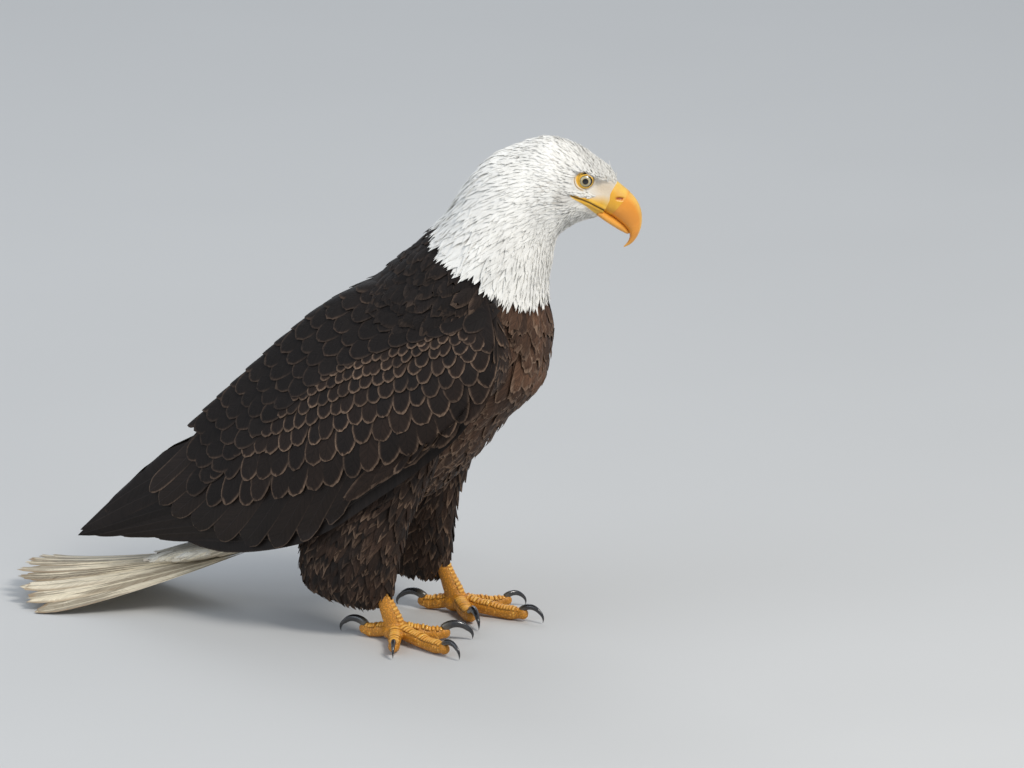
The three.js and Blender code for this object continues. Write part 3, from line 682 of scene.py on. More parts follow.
# ---------------- node trees
class Wiring:
    """Adds and joins the nodes of one tree."""

    def __init__(self, tree):
        self.tree = tree

    def feed(self, socket, value):
        """Links an output to a socket, or sets the socket's constant value."""
        if isinstance(value, NodeSocket):
            self.tree.links.new(value, socket)
        else:
            socket.default_value = value

    def add(self, kind, inputs=None, **settings):
        node = self.tree.nodes.new(kind)
        for key, value in settings.items():
            setattr(node, key, value)
        for key, value in (inputs or {}).items():
            self.feed(node.inputs[key], value)
        return node

    def math(self, operation, *values):
        return self.add("ShaderNodeMath", dict(enumerate(values)), operation=operation).outputs[0]

    def times(self, a, b):
        return self.math("MULTIPLY", a, b)

    def plus(self, a, b):
        return self.math("ADD", a, b)

    def vector(self, *parts):
        return self.add("ShaderNodeCombineXYZ", dict(enumerate(parts))).outputs[0]

    def parts(self, vector):
        return self.add("ShaderNodeSeparateXYZ", {0: vector}).outputs

    def mix(self, factor, a, b, blend="MIX"):
        """Mixes two colours."""
        full = lambda c: c if isinstance(c, NodeSocket) else (*tuple(c)[:3], 1.0)
        node = self.add("ShaderNodeMix", data_type="RGBA", blend_type=blend,
                        inputs={0: factor, 6: full(a), 7: full(b)})
        return node.outputs[2]

    def ease(self, value, low, high, start=0.0, end=1.0, kind="SMOOTHSTEP"):
        """start below low, end above high."""
        inputs = {"Value": value, "From Min": low, "From Max": high, "To Min": start, "To Max": end}
        return self.add("ShaderNodeMapRange", inputs, interpolation_type=kind).outputs[0]

    def noise(self, vector, scale, detail=2.0, roughness=0.5):
        inputs = {"Vector": vector, "Scale": scale, "Detail": detail, "Roughness": roughness}
        return self.add("ShaderNodeTexNoise", inputs).outputs[0]

    def attribute(self, name, part="Fac"):
        return self.add("ShaderNodeAttribute", attribute_name=name).outputs[part]

    def channels(self, name):
        """Red, green and blue of a colour attribute."""
        return self.add("ShaderNodeSeparateColor", {0: self.attribute(name, "Color")}).outputs

    def place(self):
        return self.add("ShaderNodeTexCoord").outputs["Object"]

    def vane(self):
        return self.add("ShaderNodeUVMap", uv_map="Vane").outputs[0]

    def group(self, make, **inputs):
        """Places a shared group and gives its outputs."""
        return self.add("ShaderNodeGroup", inputs, node_tree=make()).outputs

    def mottle(self, coarse=30.0, fine=300.0):
        return self.group(mottle_group, Place=self.place(), Coarse=coarse, Fine=fine)

    def finish(self, colour, height=None, strength=0.0, distance=0.0):
        """Feeds the shader its colour and its relief, and gives the material."""
        self.feed(self.shader.inputs["Base Color"], colour)
        if height is not None:
            inputs = {"Height": height, "Strength": strength, "Distance": distance}
            self.feed(self.shader.inputs["Normal"], self.add("ShaderNodeBump", inputs).outputs[0])
        return self.material


def new_group(name, inputs, outputs):
    """A shader node group with named sockets, vectors where an input has no default. Gives its
    wiring, the inputs to read from and the outputs to feed."""
    group = bpy.data.node_groups.new(name, "ShaderNodeTree")
    for title, default in inputs.items():
        kind = "NodeSocketVector" if default is None else "NodeSocketFloat"
        socket = group.interface.new_socket(name=title, in_out="INPUT", socket_type=kind)
        if default is not None:
            socket.default_value = default
    for title in outputs:
        group.interface.new_socket(name=title, in_out="OUTPUT", socket_type="NodeSocketFloat")
    return Wiring(group), group.nodes.new("NodeGroupInput").outputs, group.nodes.new("NodeGroupOutput").inputs


@cache
def barb_group():
    """Barbs that run out from a feather's shaft, and the splits between them."""
    w, given, made = new_group("Feather barbs", {"Vane": None, "Spacing": 1.2, "Slant": 1.1, "Shaft": 0.5},
                               ["Shade", "Height", "Shaft"])
    x, y, _ = w.parts(given["Vane"])
    across = w.math("ABSOLUTE", x)
    line = w.math("DIVIDE", w.math("SUBTRACT", y, w.times(across, given["Slant"])), given["Spacing"])
    side = w.times(w.math("SIGN", x), 40.0)
    fine = w.noise(w.vector(w.times(x, 0.07), line, side), 1.0, 2.0, 0.6)
    split = w.noise(w.vector(w.times(x, 0.03), w.times(line, 0.28), side), 1.0, 1.0)
    shade = w.plus(w.times(fine, 0.6), w.times(split, 0.4))
    shaft = w.ease(across, 0.0, given["Shaft"], 1.0, 0.0)
    w.feed(made["Shade"], w.ease(shade, 0.32, 0.68))
    w.feed(made["Height"], w.plus(shade, w.times(shaft, 0.8)))
    w.feed(made["Shaft"], shaft)
    return w.tree


@cache
def edge_group():
    """A band along the rim of a feather, uneven in width."""
    w, given, made = new_group("Feather edge", {"Distance": 0.0, "Width": 1.2, "Softness": 0.8, "Ragged": 0.6,
                                                "Place": None}, ["Mask"])
    uneven = w.math("SUBTRACT", w.noise(given["Place"], 420.0, 1.0), 0.5)
    width = w.plus(given["Width"], w.times(uneven, given["Ragged"]))
    inner = w.plus(width, given["Softness"])
    w.feed(made["Mask"], w.ease(given["Distance"], width, inner, 1.0, 0.0, "LINEAR"))
    return w.tree


@cache
def mottle_group():
    """Slow and quick changes of shade over a surface."""
    w, given, made = new_group("Mottle", {"Place": None, "Coarse": 30.0, "Fine": 300.0}, ["Slow", "Quick"])
    for output, scale in (("Slow", "Coarse"), ("Quick", "Fine")):
        w.feed(made[output], w.ease(w.noise(given["Place"], given[scale]), 0.3, 0.7))
    return w.tree


def new_material(name, roughness, **constants):
    """The wiring of a material, whose constant values are set on its Principled shader's sockets."""
    material = bpy.data.materials.new(name)
    material.use_nodes = True
    w = Wiring(material.node_tree)
    w.material, w.shader = material, material.node_tree.nodes["Principled BSDF"]
    for key, value in {"Roughness": roughness, **constants}.items():
        w.shader.inputs[key.replace("_", " ")].default_value = value
    return w


def feather_material(name, base, warm, shaft, edge=None, root=None, streak_and_shade=None, halo=None, spacing=1.3,
                     contrast=0.5, edge_width=1.0, edge_soft=0.8, ragged=0.6, halo_width=6.0, roughness=0.62,
                     shaft_width=0.4, slant=1.1, bump=0.5, variety=0.35, gloss=0.18):
    """Plumage: base colour, warmed and rimmed by each feather's own tone, with barbs and a shaft."""
    w = new_material(name, roughness, Specular_IOR_Level=gloss)
    chance, warmth, rim_share = w.channels("look")
    along_vane = w.attribute("look", "Alpha")
    rim_share = w.times(rim_share, w.ease(along_vane, 0.5, 0.92, 0.12, 1.0))
    moved = w.add("ShaderNodeVectorMath", {0: w.vane(), 1: w.vector(0.0, w.times(chance, 400.0))}).outputs[0]
    shade, relief, on_shaft = w.group(barb_group, Vane=moved, Spacing=spacing, Slant=slant, Shaft=shaft_width)
    colour = w.mix(warmth, base, warm)
    # Towards its root a feather takes the root colour: on white feathers this is a greyer painted shade where
    # the roots lie between the locks.
    if root is not None:
        colour = w.mix(w.ease(along_vane, 0.05, 0.75, 1.0, 0.0), colour, root)
    # Long brown streaks: on the tail, partly staining and partly painted shade between the feathers.
    if streak_and_shade is not None:
        across, down, _ = w.parts(w.vane())
        long = w.vector(w.times(across, 0.16), w.times(down, 0.007), w.times(chance, 60.0))
        wide = w.times(w.ease(w.noise(long, 1.0, 3.0, 0.6), 0.44, 0.51), warmth)
        colour = w.mix(w.times(wide, w.plus(0.5, w.times(shade, 0.5))), colour, streak_and_shade)
    colour = w.mix(w.times(on_shaft, 0.75), colour, shaft)
    if halo is not None:
        glow = w.times(w.ease(w.attribute("rim"), 0.4, halo_width, 1.0, 0.0), rim_share)
        colour = w.mix(w.times(glow, 0.8), colour, halo)
    if edge is not None:
        band = w.group(edge_group, Distance=w.attribute("rim"), Width=edge_width, Softness=edge_soft,
                       Ragged=ragged, Place=w.place())[0]
        frayed = w.plus(0.75, w.times(shade, 0.25))
        colour = w.mix(w.times(w.times(band, rim_share), frayed), colour, edge)
    level = 1.0
    for value, swing in ((chance, variety), (shade, contrast), (w.mottle()["Slow"], 0.16)):
        level = w.times(level, w.plus(1.0 - swing / 2, w.times(value, swing)))
    grey = w.add("ShaderNodeCombineColor", {0: level, 1: level, 2: level}).outputs[0]
    return w.finish(w.mix(1.0, colour, grey, "MULTIPLY"), relief, bump, 0.0006)


# ---------------- face
def near_line(s, z, line):
    """Signed distance above a line of s, z points, and the share along it."""
    best, sign, share = np.full(np.shape(s), 1e9), np.ones(np.shape(s)), np.zeros(np.shape(s))
    for i, (p, d) in enumerate(zip(line, np.diff(line, axis=0))):
        f = np.clip(((s - p[0]) * d[0] + (z - p[1]) * d[1]) / (d @ d), 0, 1)
        ds, dz = s - p[0] - f * d[0], z - p[1] - f * d[1]
        r = np.hypot(ds, dz)
        nearer = r < best
        best, share = np.where(nearer, r, best), np.where(nearer, (i + f) / (len(line) - 1), share)
        sign = np.where(nearer, np.where(d[0] * dz - d[1] * ds > 0, 1.0, -1.0), sign)
    return best * sign, share


def ridge(x, at, width):
    """A smooth ridge of height 1 where x is at."""
    return np.exp(-((x - at) / width) ** 2)


EYE_AXIS = unit(np.array([0.12, 0.99, 0.02]))  # the way an eye looks, outwards on either side


def eye_places(s, out, z):
    """For points of the head: the eye's side, height over its centre along its axis, distance from
    that axis, and the offset from it."""
    side = np.where(out < 0, -1.0, 1.0)
    d = stacked(s - EYE["s"], side * out - EYE["out"], z - EYE["z"])
    h = d @ EYE_AXIS
    off = d - h[..., None] * EYE_AXIS
    return side, h, np.linalg.norm(off, axis=-1), off


def eye_turn(off):
    """Degrees round the eye from straight ahead, upwards."""
    return np.degrees(np.arctan2(off[..., 2], off[..., 0])) % 360


def eye_opening(off):
    """Distance from the eye's axis, drawn in where the opening is narrower."""
    return np.hypot(np.hypot(off[..., 0], off[..., 1]) * 0.98, off[..., 2] * 1.05)


def with_lids(s, out, z):
    """Skin points of the head with eyelids, mouth line and lips."""
    side, h, rho, off = eye_places(s, out, z)
    oval, r = eye_opening(off), EYE["radius"]
    hidden = np.sqrt(np.clip((r - 2.4) ** 2 - rho ** 2, 0.5, None))
    ball = np.sqrt(np.clip((r + 0.35) ** 2 - rho ** 2, 16, None))
    inside = 1 - smooth(5.4, 5.9, oval)
    lid = smooth(5.4, 5.9, oval) * (1 - smooth(6.8, 11.5, oval))
    wanted = inside * hidden + lid * np.maximum(ball, h - 0.5) + (1 - inside - lid) * h
    wanted = wanted + (-0.3 * ridge(oval, 8.0, 0.6) - 0.6 * ridge(oval, 10.9, 0.7)) * (oval > 6.5)
    raised = np.where((h > -6) & (oval < 12.5), wanted - h, 0)
    d = near_line(s, z, MOUTH)[0]
    lips = (-1.6 * ridge(d, 0, 0.7) + 1.0 * ridge(d, 2.1, 1.4) + 0.8 * ridge(d, -1.9, 1.2)
            - 0.5 * ridge(d, -4.2, 0.7) * smooth(56, 66, s)) * smooth(45, 51, s) * smooth(4, 9, np.abs(out))
    return (s + EYE_AXIS[0] * raised, out + side * EYE_AXIS[1] * raised + np.sign(out) * lips,
            z + EYE_AXIS[2] * raised)


# Outer edge of the bare ring round the eye by the angle from straight ahead, upwards.
RING_EDGE = np.array([(0, 9.0), (45, 8.6), (90, 8.2), (135, 10.2), (155, 11.0), (190, 9.8), (230, 8.8),
                      (270, 8.4), (320, 8.8), (360, 9.0)])


def bare_skin(s, out, z):
    """How bare of feathers the face is at points of the head, round the eyes and along the gape,
    and how thin the cover of the lores is."""
    _, h, rho, off = eye_places(s, out, z)
    edge = np.interp(eye_turn(off), *RING_EDGE.T)
    ring = (1 - smooth(edge - 0.5, edge + 0.5, rho)) * (h > -4)
    ring = ring * (1 - smooth(-1.6, -0.4, near_line(s, z, BROW)[0]))
    below = near_line(s, z, MOUTH)[0]
    wide = np.interp(s, [44, 48, 54, 59, 66, 73, 80, 92], [0.4, 1.4, 2.2, 2.8, 4.6, 8.5, 12.5, 15])
    low = np.interp(s, [44, 48, 59, 66, 74, 92], [0.4, 1.6, 3.8, 6.0, 8.5, 9.0])
    soft = 0.25 + 0.4 * smooth(64, 74, s)
    gape = (1 - smooth(0.95 - soft, 0.95 + soft, below / wide)) * smooth(-1.15, -0.85, below / low)
    lores = bump(s, z, 82, 463, 15, 10, -0.45) * 1.15
    return np.clip(np.maximum(ring, gape * smooth(45, 47, s)), 0, 1), np.clip(lores, 0, 1)


def crease(s, out, z):
    """The painted shade line in the fold behind and under each eye, and the ground kept clear for it."""
    _, h, rho, off = eye_places(s, out, z)
    turn = eye_turn(off)
    arc = smooth(140, 158, turn) * (1 - smooth(246, 262, turn)) * (h > -4)
    line = np.interp(turn, [140, 160, 200, 230, 262], [12.4, 12.0, 11.2, 10.2, 9.8])
    return arc * ridge(rho, line, 0.6), arc * (np.abs(rho - line) < 1.0)


# ---------------- flesh
def flesh_body():
    """Head, neck and trunk in one loft, with lids and lips."""
    t = np.concatenate([np.arange(0, 4.6, 0.04), np.arange(4.7, LAST_RIB + 0.01, 0.15)])
    t, angle = grid_of(t, np.linspace(-math.pi, math.pi, 256, endpoint=False))
    points = body_point(t, angle, -along(COAT, t))
    turned = in_head(*with_lids(*from_head(points)))
    return points + (turned - points) * (1 - smooth(3.6, 4.5, t))[..., None]


def flesh_thigh(side):
    """A thigh inside its feathers."""
    a, angle = grid_of(np.linspace(0, 7, 40), circle(48))
    ring = thigh_point(side, a, angle)
    depth = np.interp(a, [0, 3, 5, 7], [7, 7, 5, 2])[..., None]
    return ring - unit(ring - ring.mean(1, keepdims=True)) * depth


def shield_edge(t):
    """How far down the wing (f) its coverts reach."""
    return np.interp(t, np.arange(10), SHIELD_EDGE)


def flesh_wing(side):
    """The wing's flesh inside its coverts: a thick slab."""
    t, share = grid_of(np.linspace(0.5, 8.0, 40), np.linspace(0, 1, 14))
    f = 0.05 + share * (shield_edge(t) - 0.13)
    thinned = np.minimum(1, 0.3 + 2.4 * np.minimum(t / 8.5, 1.12 - t / 8.5))
    deep = WING_DEPTH * thinned * (0.3 + 0.7 * np.minimum(1, 4 * f))
    outer = WING_SKIN[side].lifted(t, f, np.full(t.shape, -SKIN_UNDER_COVERTS))
    inner = WING_SKIN[side].lifted(t, f, -np.maximum(deep, LEAST_WING_DEPTH))
    return np.concatenate([outer, inner[:, ::-1]], 1)


def rump_height(f):
    """Height of the middle of the tail coverts, f along them."""
    return np.interp(f, [-0.25, 0, 0.3, 0.62, 0.85, 1], [88, 78, 66, 54.5, 47.5, 43])


def flesh_rump():
    """The root of the tail."""
    f = np.linspace(-0.25, 0.55, 12)
    wide = np.interp(f, [-0.25, 0, 0.3, 0.55], [24, 25, 27, 18])
    tall = np.interp(f, [-0.25, 0, 0.3, 0.55], [12, 12, 9, 4])
    return tube_rings(stacked(-178 - 120 * f, 0.0, rump_height(f)), (0, 1, 0), (0.2, 0, 1), wide, tall)


def toe_ways(heading):
    """Unit directions along a toe and across it."""
    yaw = math.radians(heading)
    return np.array([math.cos(yaw), math.sin(yaw), 0]), np.array([-math.sin(yaw), math.cos(yaw), 0])


UP = np.array([0, 0, 1.0])


def claw_stations(side, row, steps):
    """Middles of a claw, the way across it, the ways up from it, and its half width and height."""
    heading, length, radius, reach, claw_radius = row
    run, across = toe_ways(heading)
    height = radius * 1.15 + 1.5
    start = foot_point(side, height) + run * (1 + length)
    rise, sweep, bend = math.radians(44), math.radians(150), reach / 2.18
    f = np.linspace(0, 1, steps)
    a = rise - sweep * f
    up = bend * (np.cos(a) - math.cos(rise))
    settle = (height - 0.9) / -(bend * (math.cos(rise - sweep) - math.cos(rise)))
    up = np.where(up < 0, up * settle, up)
    middles = start + run * (bend * (math.sin(rise) - np.sin(a)))[:, None] + UP * up[:, None]
    taper = np.maximum(0.06, (1 - f ** 1.5) ** 0.85)
    normal = -run * np.sin(a)[:, None] + UP * np.cos(a)[:, None]
    return middles, across, normal, claw_radius * 0.82 * taper, claw_radius * 1.05 * taper


def toe_stations(side, row, steps=30):
    """Middles of a toe, the way across it, its half widths and heights, and the way along it."""
    heading, length, radius = row[:3]
    run, across = toe_ways(heading)
    t = np.linspace(TOE_ROWS[0, 0], 1, steps)
    wide, tall = (np.interp(t, TOE_ROWS[:, 0], TOE_ROWS[:, k]) for k in (1, 2))
    tall = radius * tall * (1 - 0.1 * t)
    height = tall - 1.3 + 5 * (1 - t) ** 2 + 4 * np.clip(5 * t - 4, 0, 1)
    middles = foot_point(side, height) + run * (4 + length * t)[:, None]
    return middles, across, radius * wide * (1 - 0.12 * t), tall, run


# Share of the way up the shank, and its radii ahead and sideways there.
SHANK = np.array([[-0.04, 0.12, 0.3, 0.6, 1], [10.5, 10.6, 8.8, 8.4, 9.2], [9.5, 9.6, 8.4, 8, 8.8]])
SHANK_AHEAD, SIDEWAYS = np.array([1, 0, 0.35]) / 1.06, np.array([0, 1.0, 0])
SKIN_UNDER_SCUTES = 0.7


def shank_at(side, f):
    """Middles of the shank at shares f of the way up it, and its radii ahead and sideways."""
    top, base = foot_point(side, ANKLE_Z) - [ANKLE_BACK, 0, 0], foot_point(side, HUB)
    middles = base + (top - base) * np.asarray(f, float)[..., None]
    return middles, np.interp(f, SHANK[0], SHANK[1]), np.interp(f, SHANK[0], SHANK[2])


def flesh_foot(side):
    """The tubes of one foot: shank, hub and toes, as lists of rings."""
    inset = SKIN_UNDER_SCUTES
    middles, a, b = shank_at(side, np.linspace(-0.04, 1.12, 26))
    tubes = [tube_rings(middles, SHANK_AHEAD, SIDEWAYS, a - inset, b - inset, 28)]
    f = np.linspace(-0.98, 0.98, 12)
    hub = HUB * np.sqrt(1.08 - f * f) - inset
    tubes.append(tube_rings(foot_point(side, 8.9 + 8.3 * f), (1, 0, 0), SIDEWAYS, hub, hub, 28))
    for row in TOES[side]:
        middles, across, wide, tall, run = toe_stations(side, row)
        tubes.append(tube_rings(middles, across, UP, wide - inset, tall - inset, 24))
        # The swollen end that holds the claw.
        f = np.linspace(-1, 0.96, 9)
        knob = np.sqrt(1.02 - f * f) * row[2]
        tubes.append(tube_rings(middles[-1] - run * 2.6 + run * (f * 6.5)[:, None], across, UP,
                                knob * 0.62, knob * 0.68, 20))
    return tubes


def apply_modifiers(piece):
    """Leaves the object with the mesh its modifiers make."""
    depsgraph = bpy.context.evaluated_depsgraph_get()
    mesh = bpy.data.meshes.new_from_object(piece.evaluated_get(depsgraph))
    old = piece.data
    piece.modifiers.clear()
    piece.data = mesh
    bpy.data.meshes.remove(old)


def remeshed(piece, voxel, rounds):
    """Makes one closed skin of a piece's parts, rounded off."""
    remesh = piece.modifiers.new("Remesh", "REMESH")
    remesh.mode, remesh.voxel_size, remesh.use_smooth_shade = "VOXEL", voxel * MM, True
    soften = piece.modifiers.new("Smooth", "SMOOTH")
    soften.iterations, soften.factor = rounds, 0.6
    apply_modifiers(piece)
    return piece


def joined(piece, others):
    """Unites the others with a piece."""
    for n, other in enumerate(others):
        union = piece.modifiers.new(f"Union {n}", "BOOLEAN")
        union.operation, union.solver, union.object = "UNION", "MANIFOLD", other
    apply_modifiers(piece)
    for other in others:
        bpy.data.objects.remove(other)


def skin_material():
    """Bare skin: dark under the brown coat, pale under the white, yellow on the face and feet, with painted
    shade in the lines and hollows of the face.
    """
    plumage, horn, _ = settings()
    w = new_material("Eagle skin", 0.48)
    bare, white, feet = w.channels("zones")
    slow, quick = w.mottle(90.0, 900.0)
    cells = w.add("ShaderNodeTexVoronoi", {"Vector": w.place(), "Scale": 620.0}).outputs[0]
    flesh = w.mix(slow, (0.86, 0.46, 0.03), (0.9, 0.54, 0.075))
    # The zones' dark share: painted shade in the face's lines and hollows, and the lores' grey-tan.
    flesh = w.mix(w.attribute("zones", "Alpha"), flesh, (0.075, 0.036, 0.014))
    colour = w.mix(bare, w.mix(white, shaded(plumage.dark, 0.9), shaded(plumage.white, 0.85)), flesh)
    # The foot's small scales are darker towards their edges: painted shade in the grooves between them.
    foot = w.mix(w.ease(cells, 0.1, 0.6), shaded(horn.foot, 1.05), shaded(horn.foot, 0.62))
    return w.finish(w.mix(feet, colour, foot), w.plus(w.times(cells, -0.7), w.times(quick, 0.4)), 0.5, 0.0005)


def ride(piece, slot, *nodes):
    """Hides the parts that a piece replaces and hangs it on the body that it moves with; slot, its finish, is
    not used.
    """
    if nodes:
        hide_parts(*nodes)
    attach(piece, "root")


def skin_zones(p):
    """Colour zones of skin points: bare face, white coat, foot, and a dark share that holds painted shade in
    the face's lines and hollows and the lores' own grey-tan.
    """
    t, angle = grid_of(np.arange(0, 10.5, 0.1), np.linspace(-math.pi, math.pi, 96, endpoint=False))
    t, angle = t.ravel(), angle.ravel()
    samples = body_point(t, angle, -along(COAT, t))
    tree = KDTree(len(samples))
    for i, sample in enumerate(samples):
        tree.insert(sample, i)
    tree.balance()
    near = np.array([tree.find(q)[1] for q in p])
    z = p[:, 2]
    white = (t[near] < white_end(angle[near]) - 0.25) & (z > 250)
    on_head = (z > 400) & (t[near] < HEAD_RIBS)
    s, out, _ = from_head(p)
    bare, lores = bare_skin(s, out, z)
    _, _, rho, off = eye_places(s, out, z)
    d = near_line(s, z, MOUTH)[0]
    fold = crease(s, out, z)[0]
    # Painted shade in the mouth's line, the fold and the eye's opening, and in the lid's crease; darker below
    # the mouth line; painted shade under the brow's edge before the eye.
    dark = ridge(d, 0, 0.75) * smooth(46, 49, s) * (rho > 10) + fold + (1 - smooth(5.8, 6.4, eye_opening(off)))
    dark = dark + 0.3 * ridge(rho, 8.0, 0.7) * (rho < 9) * (z < 481)
    dark = dark + 0.1 * (d < -0.9) * (d > -11) * (s > 50) * (z < 462) + 0.6 * bump(s, z, 74, 474.5, 6, 2.4)
    bare = np.maximum(bare, fold)
    feet = np.zeros(len(p))
    for side, _ in SIDES:
        x, y, _ = foot_point(side, z).T
        gap = np.hypot(p[:, 0] - x + ANKLE_BACK * np.clip((z - HUB) / (ANKLE_Z - HUB), 0, 1.2), p[:, 1] - y)
        feet = np.maximum(feet, (z < 88) & ((gap < 15) | (z < 30)))
    # The last channel holds the painted shade of the face's lines and hollows, and the lores' own grey-tan.
    return stacked(on_head * np.maximum(bare, 0.34 * lores), white, feet,
                   on_head * np.maximum(np.clip(dark, 0, 1), 0.22 * lores * (1 - bare)))


class EAGLE_OT_skin(Operator):
    """Adds the skin of the whole bird, with lids, lips and toes, under the plumage"""

    bl_idname = "eagle.skin"
    bl_label = "Skin"

    def execute(self, context):
        material = skin_material()
        body = solid("skin", [flesh_body()], material)
        others = [solid("limb flesh", [make(side)], material) for make in (flesh_thigh, flesh_wing)
                  for side, _ in SIDES]
        others.append(solid("rump flesh", [flesh_rump()], material))
        others += [remeshed(solid("foot flesh", flesh_foot(side), material), 1.15, 6) for side, _ in SIDES]
        joined(body, others)
        mesh = body.data
        co = np.zeros(len(mesh.vertices) * 3, np.float32)
        mesh.vertices.foreach_get("co", co)
        mark(mesh, "zones", skin_zones((co.reshape(-1, 3).astype(float) - SHIFT) / MM))
        mesh.polygons.foreach_set("use_smooth", [True] * len(mesh.polygons))
        ride(body, "feet", "head", "neck", "trunk", "thigh_left", "thigh_right", "tarsus_left",
             "tarsus_right", *(f"toe_{side}_{digit}" for side in ("left", "right") for digit in (1, 2, 3, 4)))
        return {"FINISHED"}


# ---------------- eyes, bill and claws
def eye_material():
    """Spoked iris round a black pupil, dark at its outer edge, under a clear coat."""
    horn = settings()[1]
    w = new_material("Eye", 0.08, Specular_IOR_Level=0.45, Coat_Weight=0.5, Coat_Roughness=0.02)
    rho = w.attribute("ring")
    spokes = w.ease(w.noise(w.vane(), 1.0, 3.0, 0.6), 0.35, 0.65)
    colour = w.mix(spokes, horn.iris, shaded(horn.iris, 0.72))
    # A glow round the pupil, the pupil and the dark outer edge: the radii they fade between, and tints.
    for clear, full, tint in ((3.9, 2.9, (0.42, 0.3, 0.12)), (3.05, 2.8, (0.003, 0.003, 0.004)),
                              (5.0, 5.4, (0.016, 0.012, 0.009))):
        colour = w.mix(w.ease(rho, clear, full), colour, tint)
    return w.finish(colour)


class EAGLE_OT_eyes(Operator):
    """Adds the eyes: pupil, iris and dark limbal ring under a clear front"""

    bl_idname = "eagle.eyes"
    bl_label = "Eyes"

    def execute(self, context):
        material, radius = eye_material(), EYE["radius"]
        polar = np.concatenate([np.linspace(0.02, 0.9, 40), np.linspace(0.95, math.pi - 0.02, 24)])
        polar, angle = grid_of(polar, circle(72))
        for side, name in SIDES:
            axis = unit(np.array([0.02, side, 0.03]))
            r = radius + 0.35 * ridge(polar, 0, 0.5)
            local = (axis * (r * np.cos(polar))[..., None]
                     + np.cross(UP, axis) * (r * np.sin(polar) * np.cos(angle))[..., None]
                     + UP * (r * np.sin(polar) * np.sin(angle))[..., None])
            rings = in_head(*np.moveaxis(local + [EYE["s"], side * EYE["out"], EYE["z"]], -1, 0))
            piece = solid(f"eyeball_{name}", [rings], material)
            from_pupil = radius * np.sin(polar) + (polar > 1.5) * 20
            mark(piece.data, "ring", [*from_pupil.ravel(), 0, 30])
            spokes = stacked(np.cos(angle) * 9 + polar, np.sin(angle) * 9).reshape(-1, 2)
            unwrap(piece.data, "Vane", [*spokes, (0, 0), (0, 0)])
            ride(piece, "eyes", f"eye_{name}")
        return {"FINISHED"}


def bill_rings(rows, t, sides, grow=0.0):
    """Rings round the bill (s, out, z), a little squared, from its upper edge round."""
    bs, bz, fs, fz, half = np.moveaxis(along(rows, t), -1, 0)[..., None]
    c, o = np.cos(circle(sides)), np.sin(circle(sides))
    s, z = rib_place(bs, bz, fs, fz, c, grow)
    return s, (half + grow) * np.sign(o) * np.abs(o) ** 0.9 * (1 - 0.12 * c), z


def horn_material(name, base, light, dark, roughness, tip):
    """Horn or cere: base colour, lighter along the ridge as a painted highlight, and darker by a share that
    paints shade in the nostrils and darkens the upper bill's lower edge.
    """
    w = new_material(name, roughness, Coat_Weight=0.25, Coat_Roughness=0.25)
    ridged, darkened, tipped = w.channels("look")
    slow, quick = w.mottle(70.0, 700.0)
    colour = w.mix(w.times(ridged, 0.9), base, light)
    for share, tint in ((w.times(slow, 0.25), dark), (darkened, dark), (tipped, tip)):
        colour = w.mix(share, colour, tint)
    w.feed(w.shader.inputs["Roughness"], w.plus(roughness - 0.05, w.times(slow, 0.12)))
    return w.finish(colour, w.plus(w.times(quick, 0.5), w.times(darkened, -1.0)), 0.25, 0.0004)


class EAGLE_OT_bill(Operator):
    """Adds the bill: cere with its nostrils, hooked upper half and lower half"""

    bl_idname = "eagle.bill"
    bl_label = "Bill"

    def build(self, name, rings, material, slot, node, ridged, darkened=0.0, tipped=0.0):
        piece = solid(name, [in_head(*rings)], material)
        look = stacked(ridged, darkened, tipped, 1 + 0 * rings[1])
        mark(piece.data, "look", np.concatenate([look.reshape(-1, 4), look[:1].mean(1), look[-1:].mean(1)]))
        ride(piece, slot, node)

    def execute(self, context):
        horn = settings()[1]
        bill = horn_material("Bill horn", horn.bill, (0.9, 0.55, 0.11), (0.5, 0.15, 0.012), 0.3,
                             (0.86, 0.5, 0.09))
        cere = horn_material("Cere", horn.cere, (0.9, 0.6, 0.12), (0.42, 0.07, 0.012), 0.38, horn.bill)
        # Cere: swollen at its base, with a slanting nostril on each side.
        s, out, z = bill_rings(UPPER_BILL, np.linspace(-0.25, CERE_END + 0.02, 44), 96, 0.25)
        a, b = tilted(s, z, 95.8, 452.9, math.radians(-8))
        slit = np.exp(-((a / 4.0) ** 4) - (b / 1.15) ** 2) * (np.abs(out) > 4)
        lip = np.exp(-((a / 5.2) ** 4) - ((b - 2.0) / 1.3) ** 2) * (np.abs(out) > 4)
        out = out - np.sign(out) * (2.6 * slit - 0.25 * lip)
        # The cere's top is lighter as a painted highlight, and its nostrils are painted dark as shade in their
        # hollows.
        self.build("cere_skin", (s, out, z), cere, "cere", "cere", smooth(0.35, 1.0, np.cos(circle(96))),
                   np.clip(slit * 1.3, 0, 1), smooth(99, 107, s + 0.35 * (455 - z)))
        t = np.concatenate([np.linspace(CERE_END - 0.12, 7.4, 90), np.linspace(7.45, 8, 12)])
        c = np.cos(circle(72))
        # The upper bill: lighter along the culmen as a painted highlight, darker along its lower edge, and
        # golden towards the hook.
        self.build("bill_upper_horn", bill_rings(UPPER_BILL, t, 72), bill, "bill", "bill_upper",
                   smooth(0.55, 1.0, c), 0.35 * smooth(0.75, 1.0, -c), 0.6 * smooth(5.0, 8.0, t)[:, None])
        shut = np.vstack([LOWER_BILL + [0.6, 2.4, 0, 0, 0], [106, 416.4, 106, 415.2, 1.2]])
        self.build("bill_lower_horn", bill_rings(shut, np.linspace(-0.5, 5, 60), 64), bill, "bill",
                   "bill_lower", 0.35)
        return {"FINISHED"}


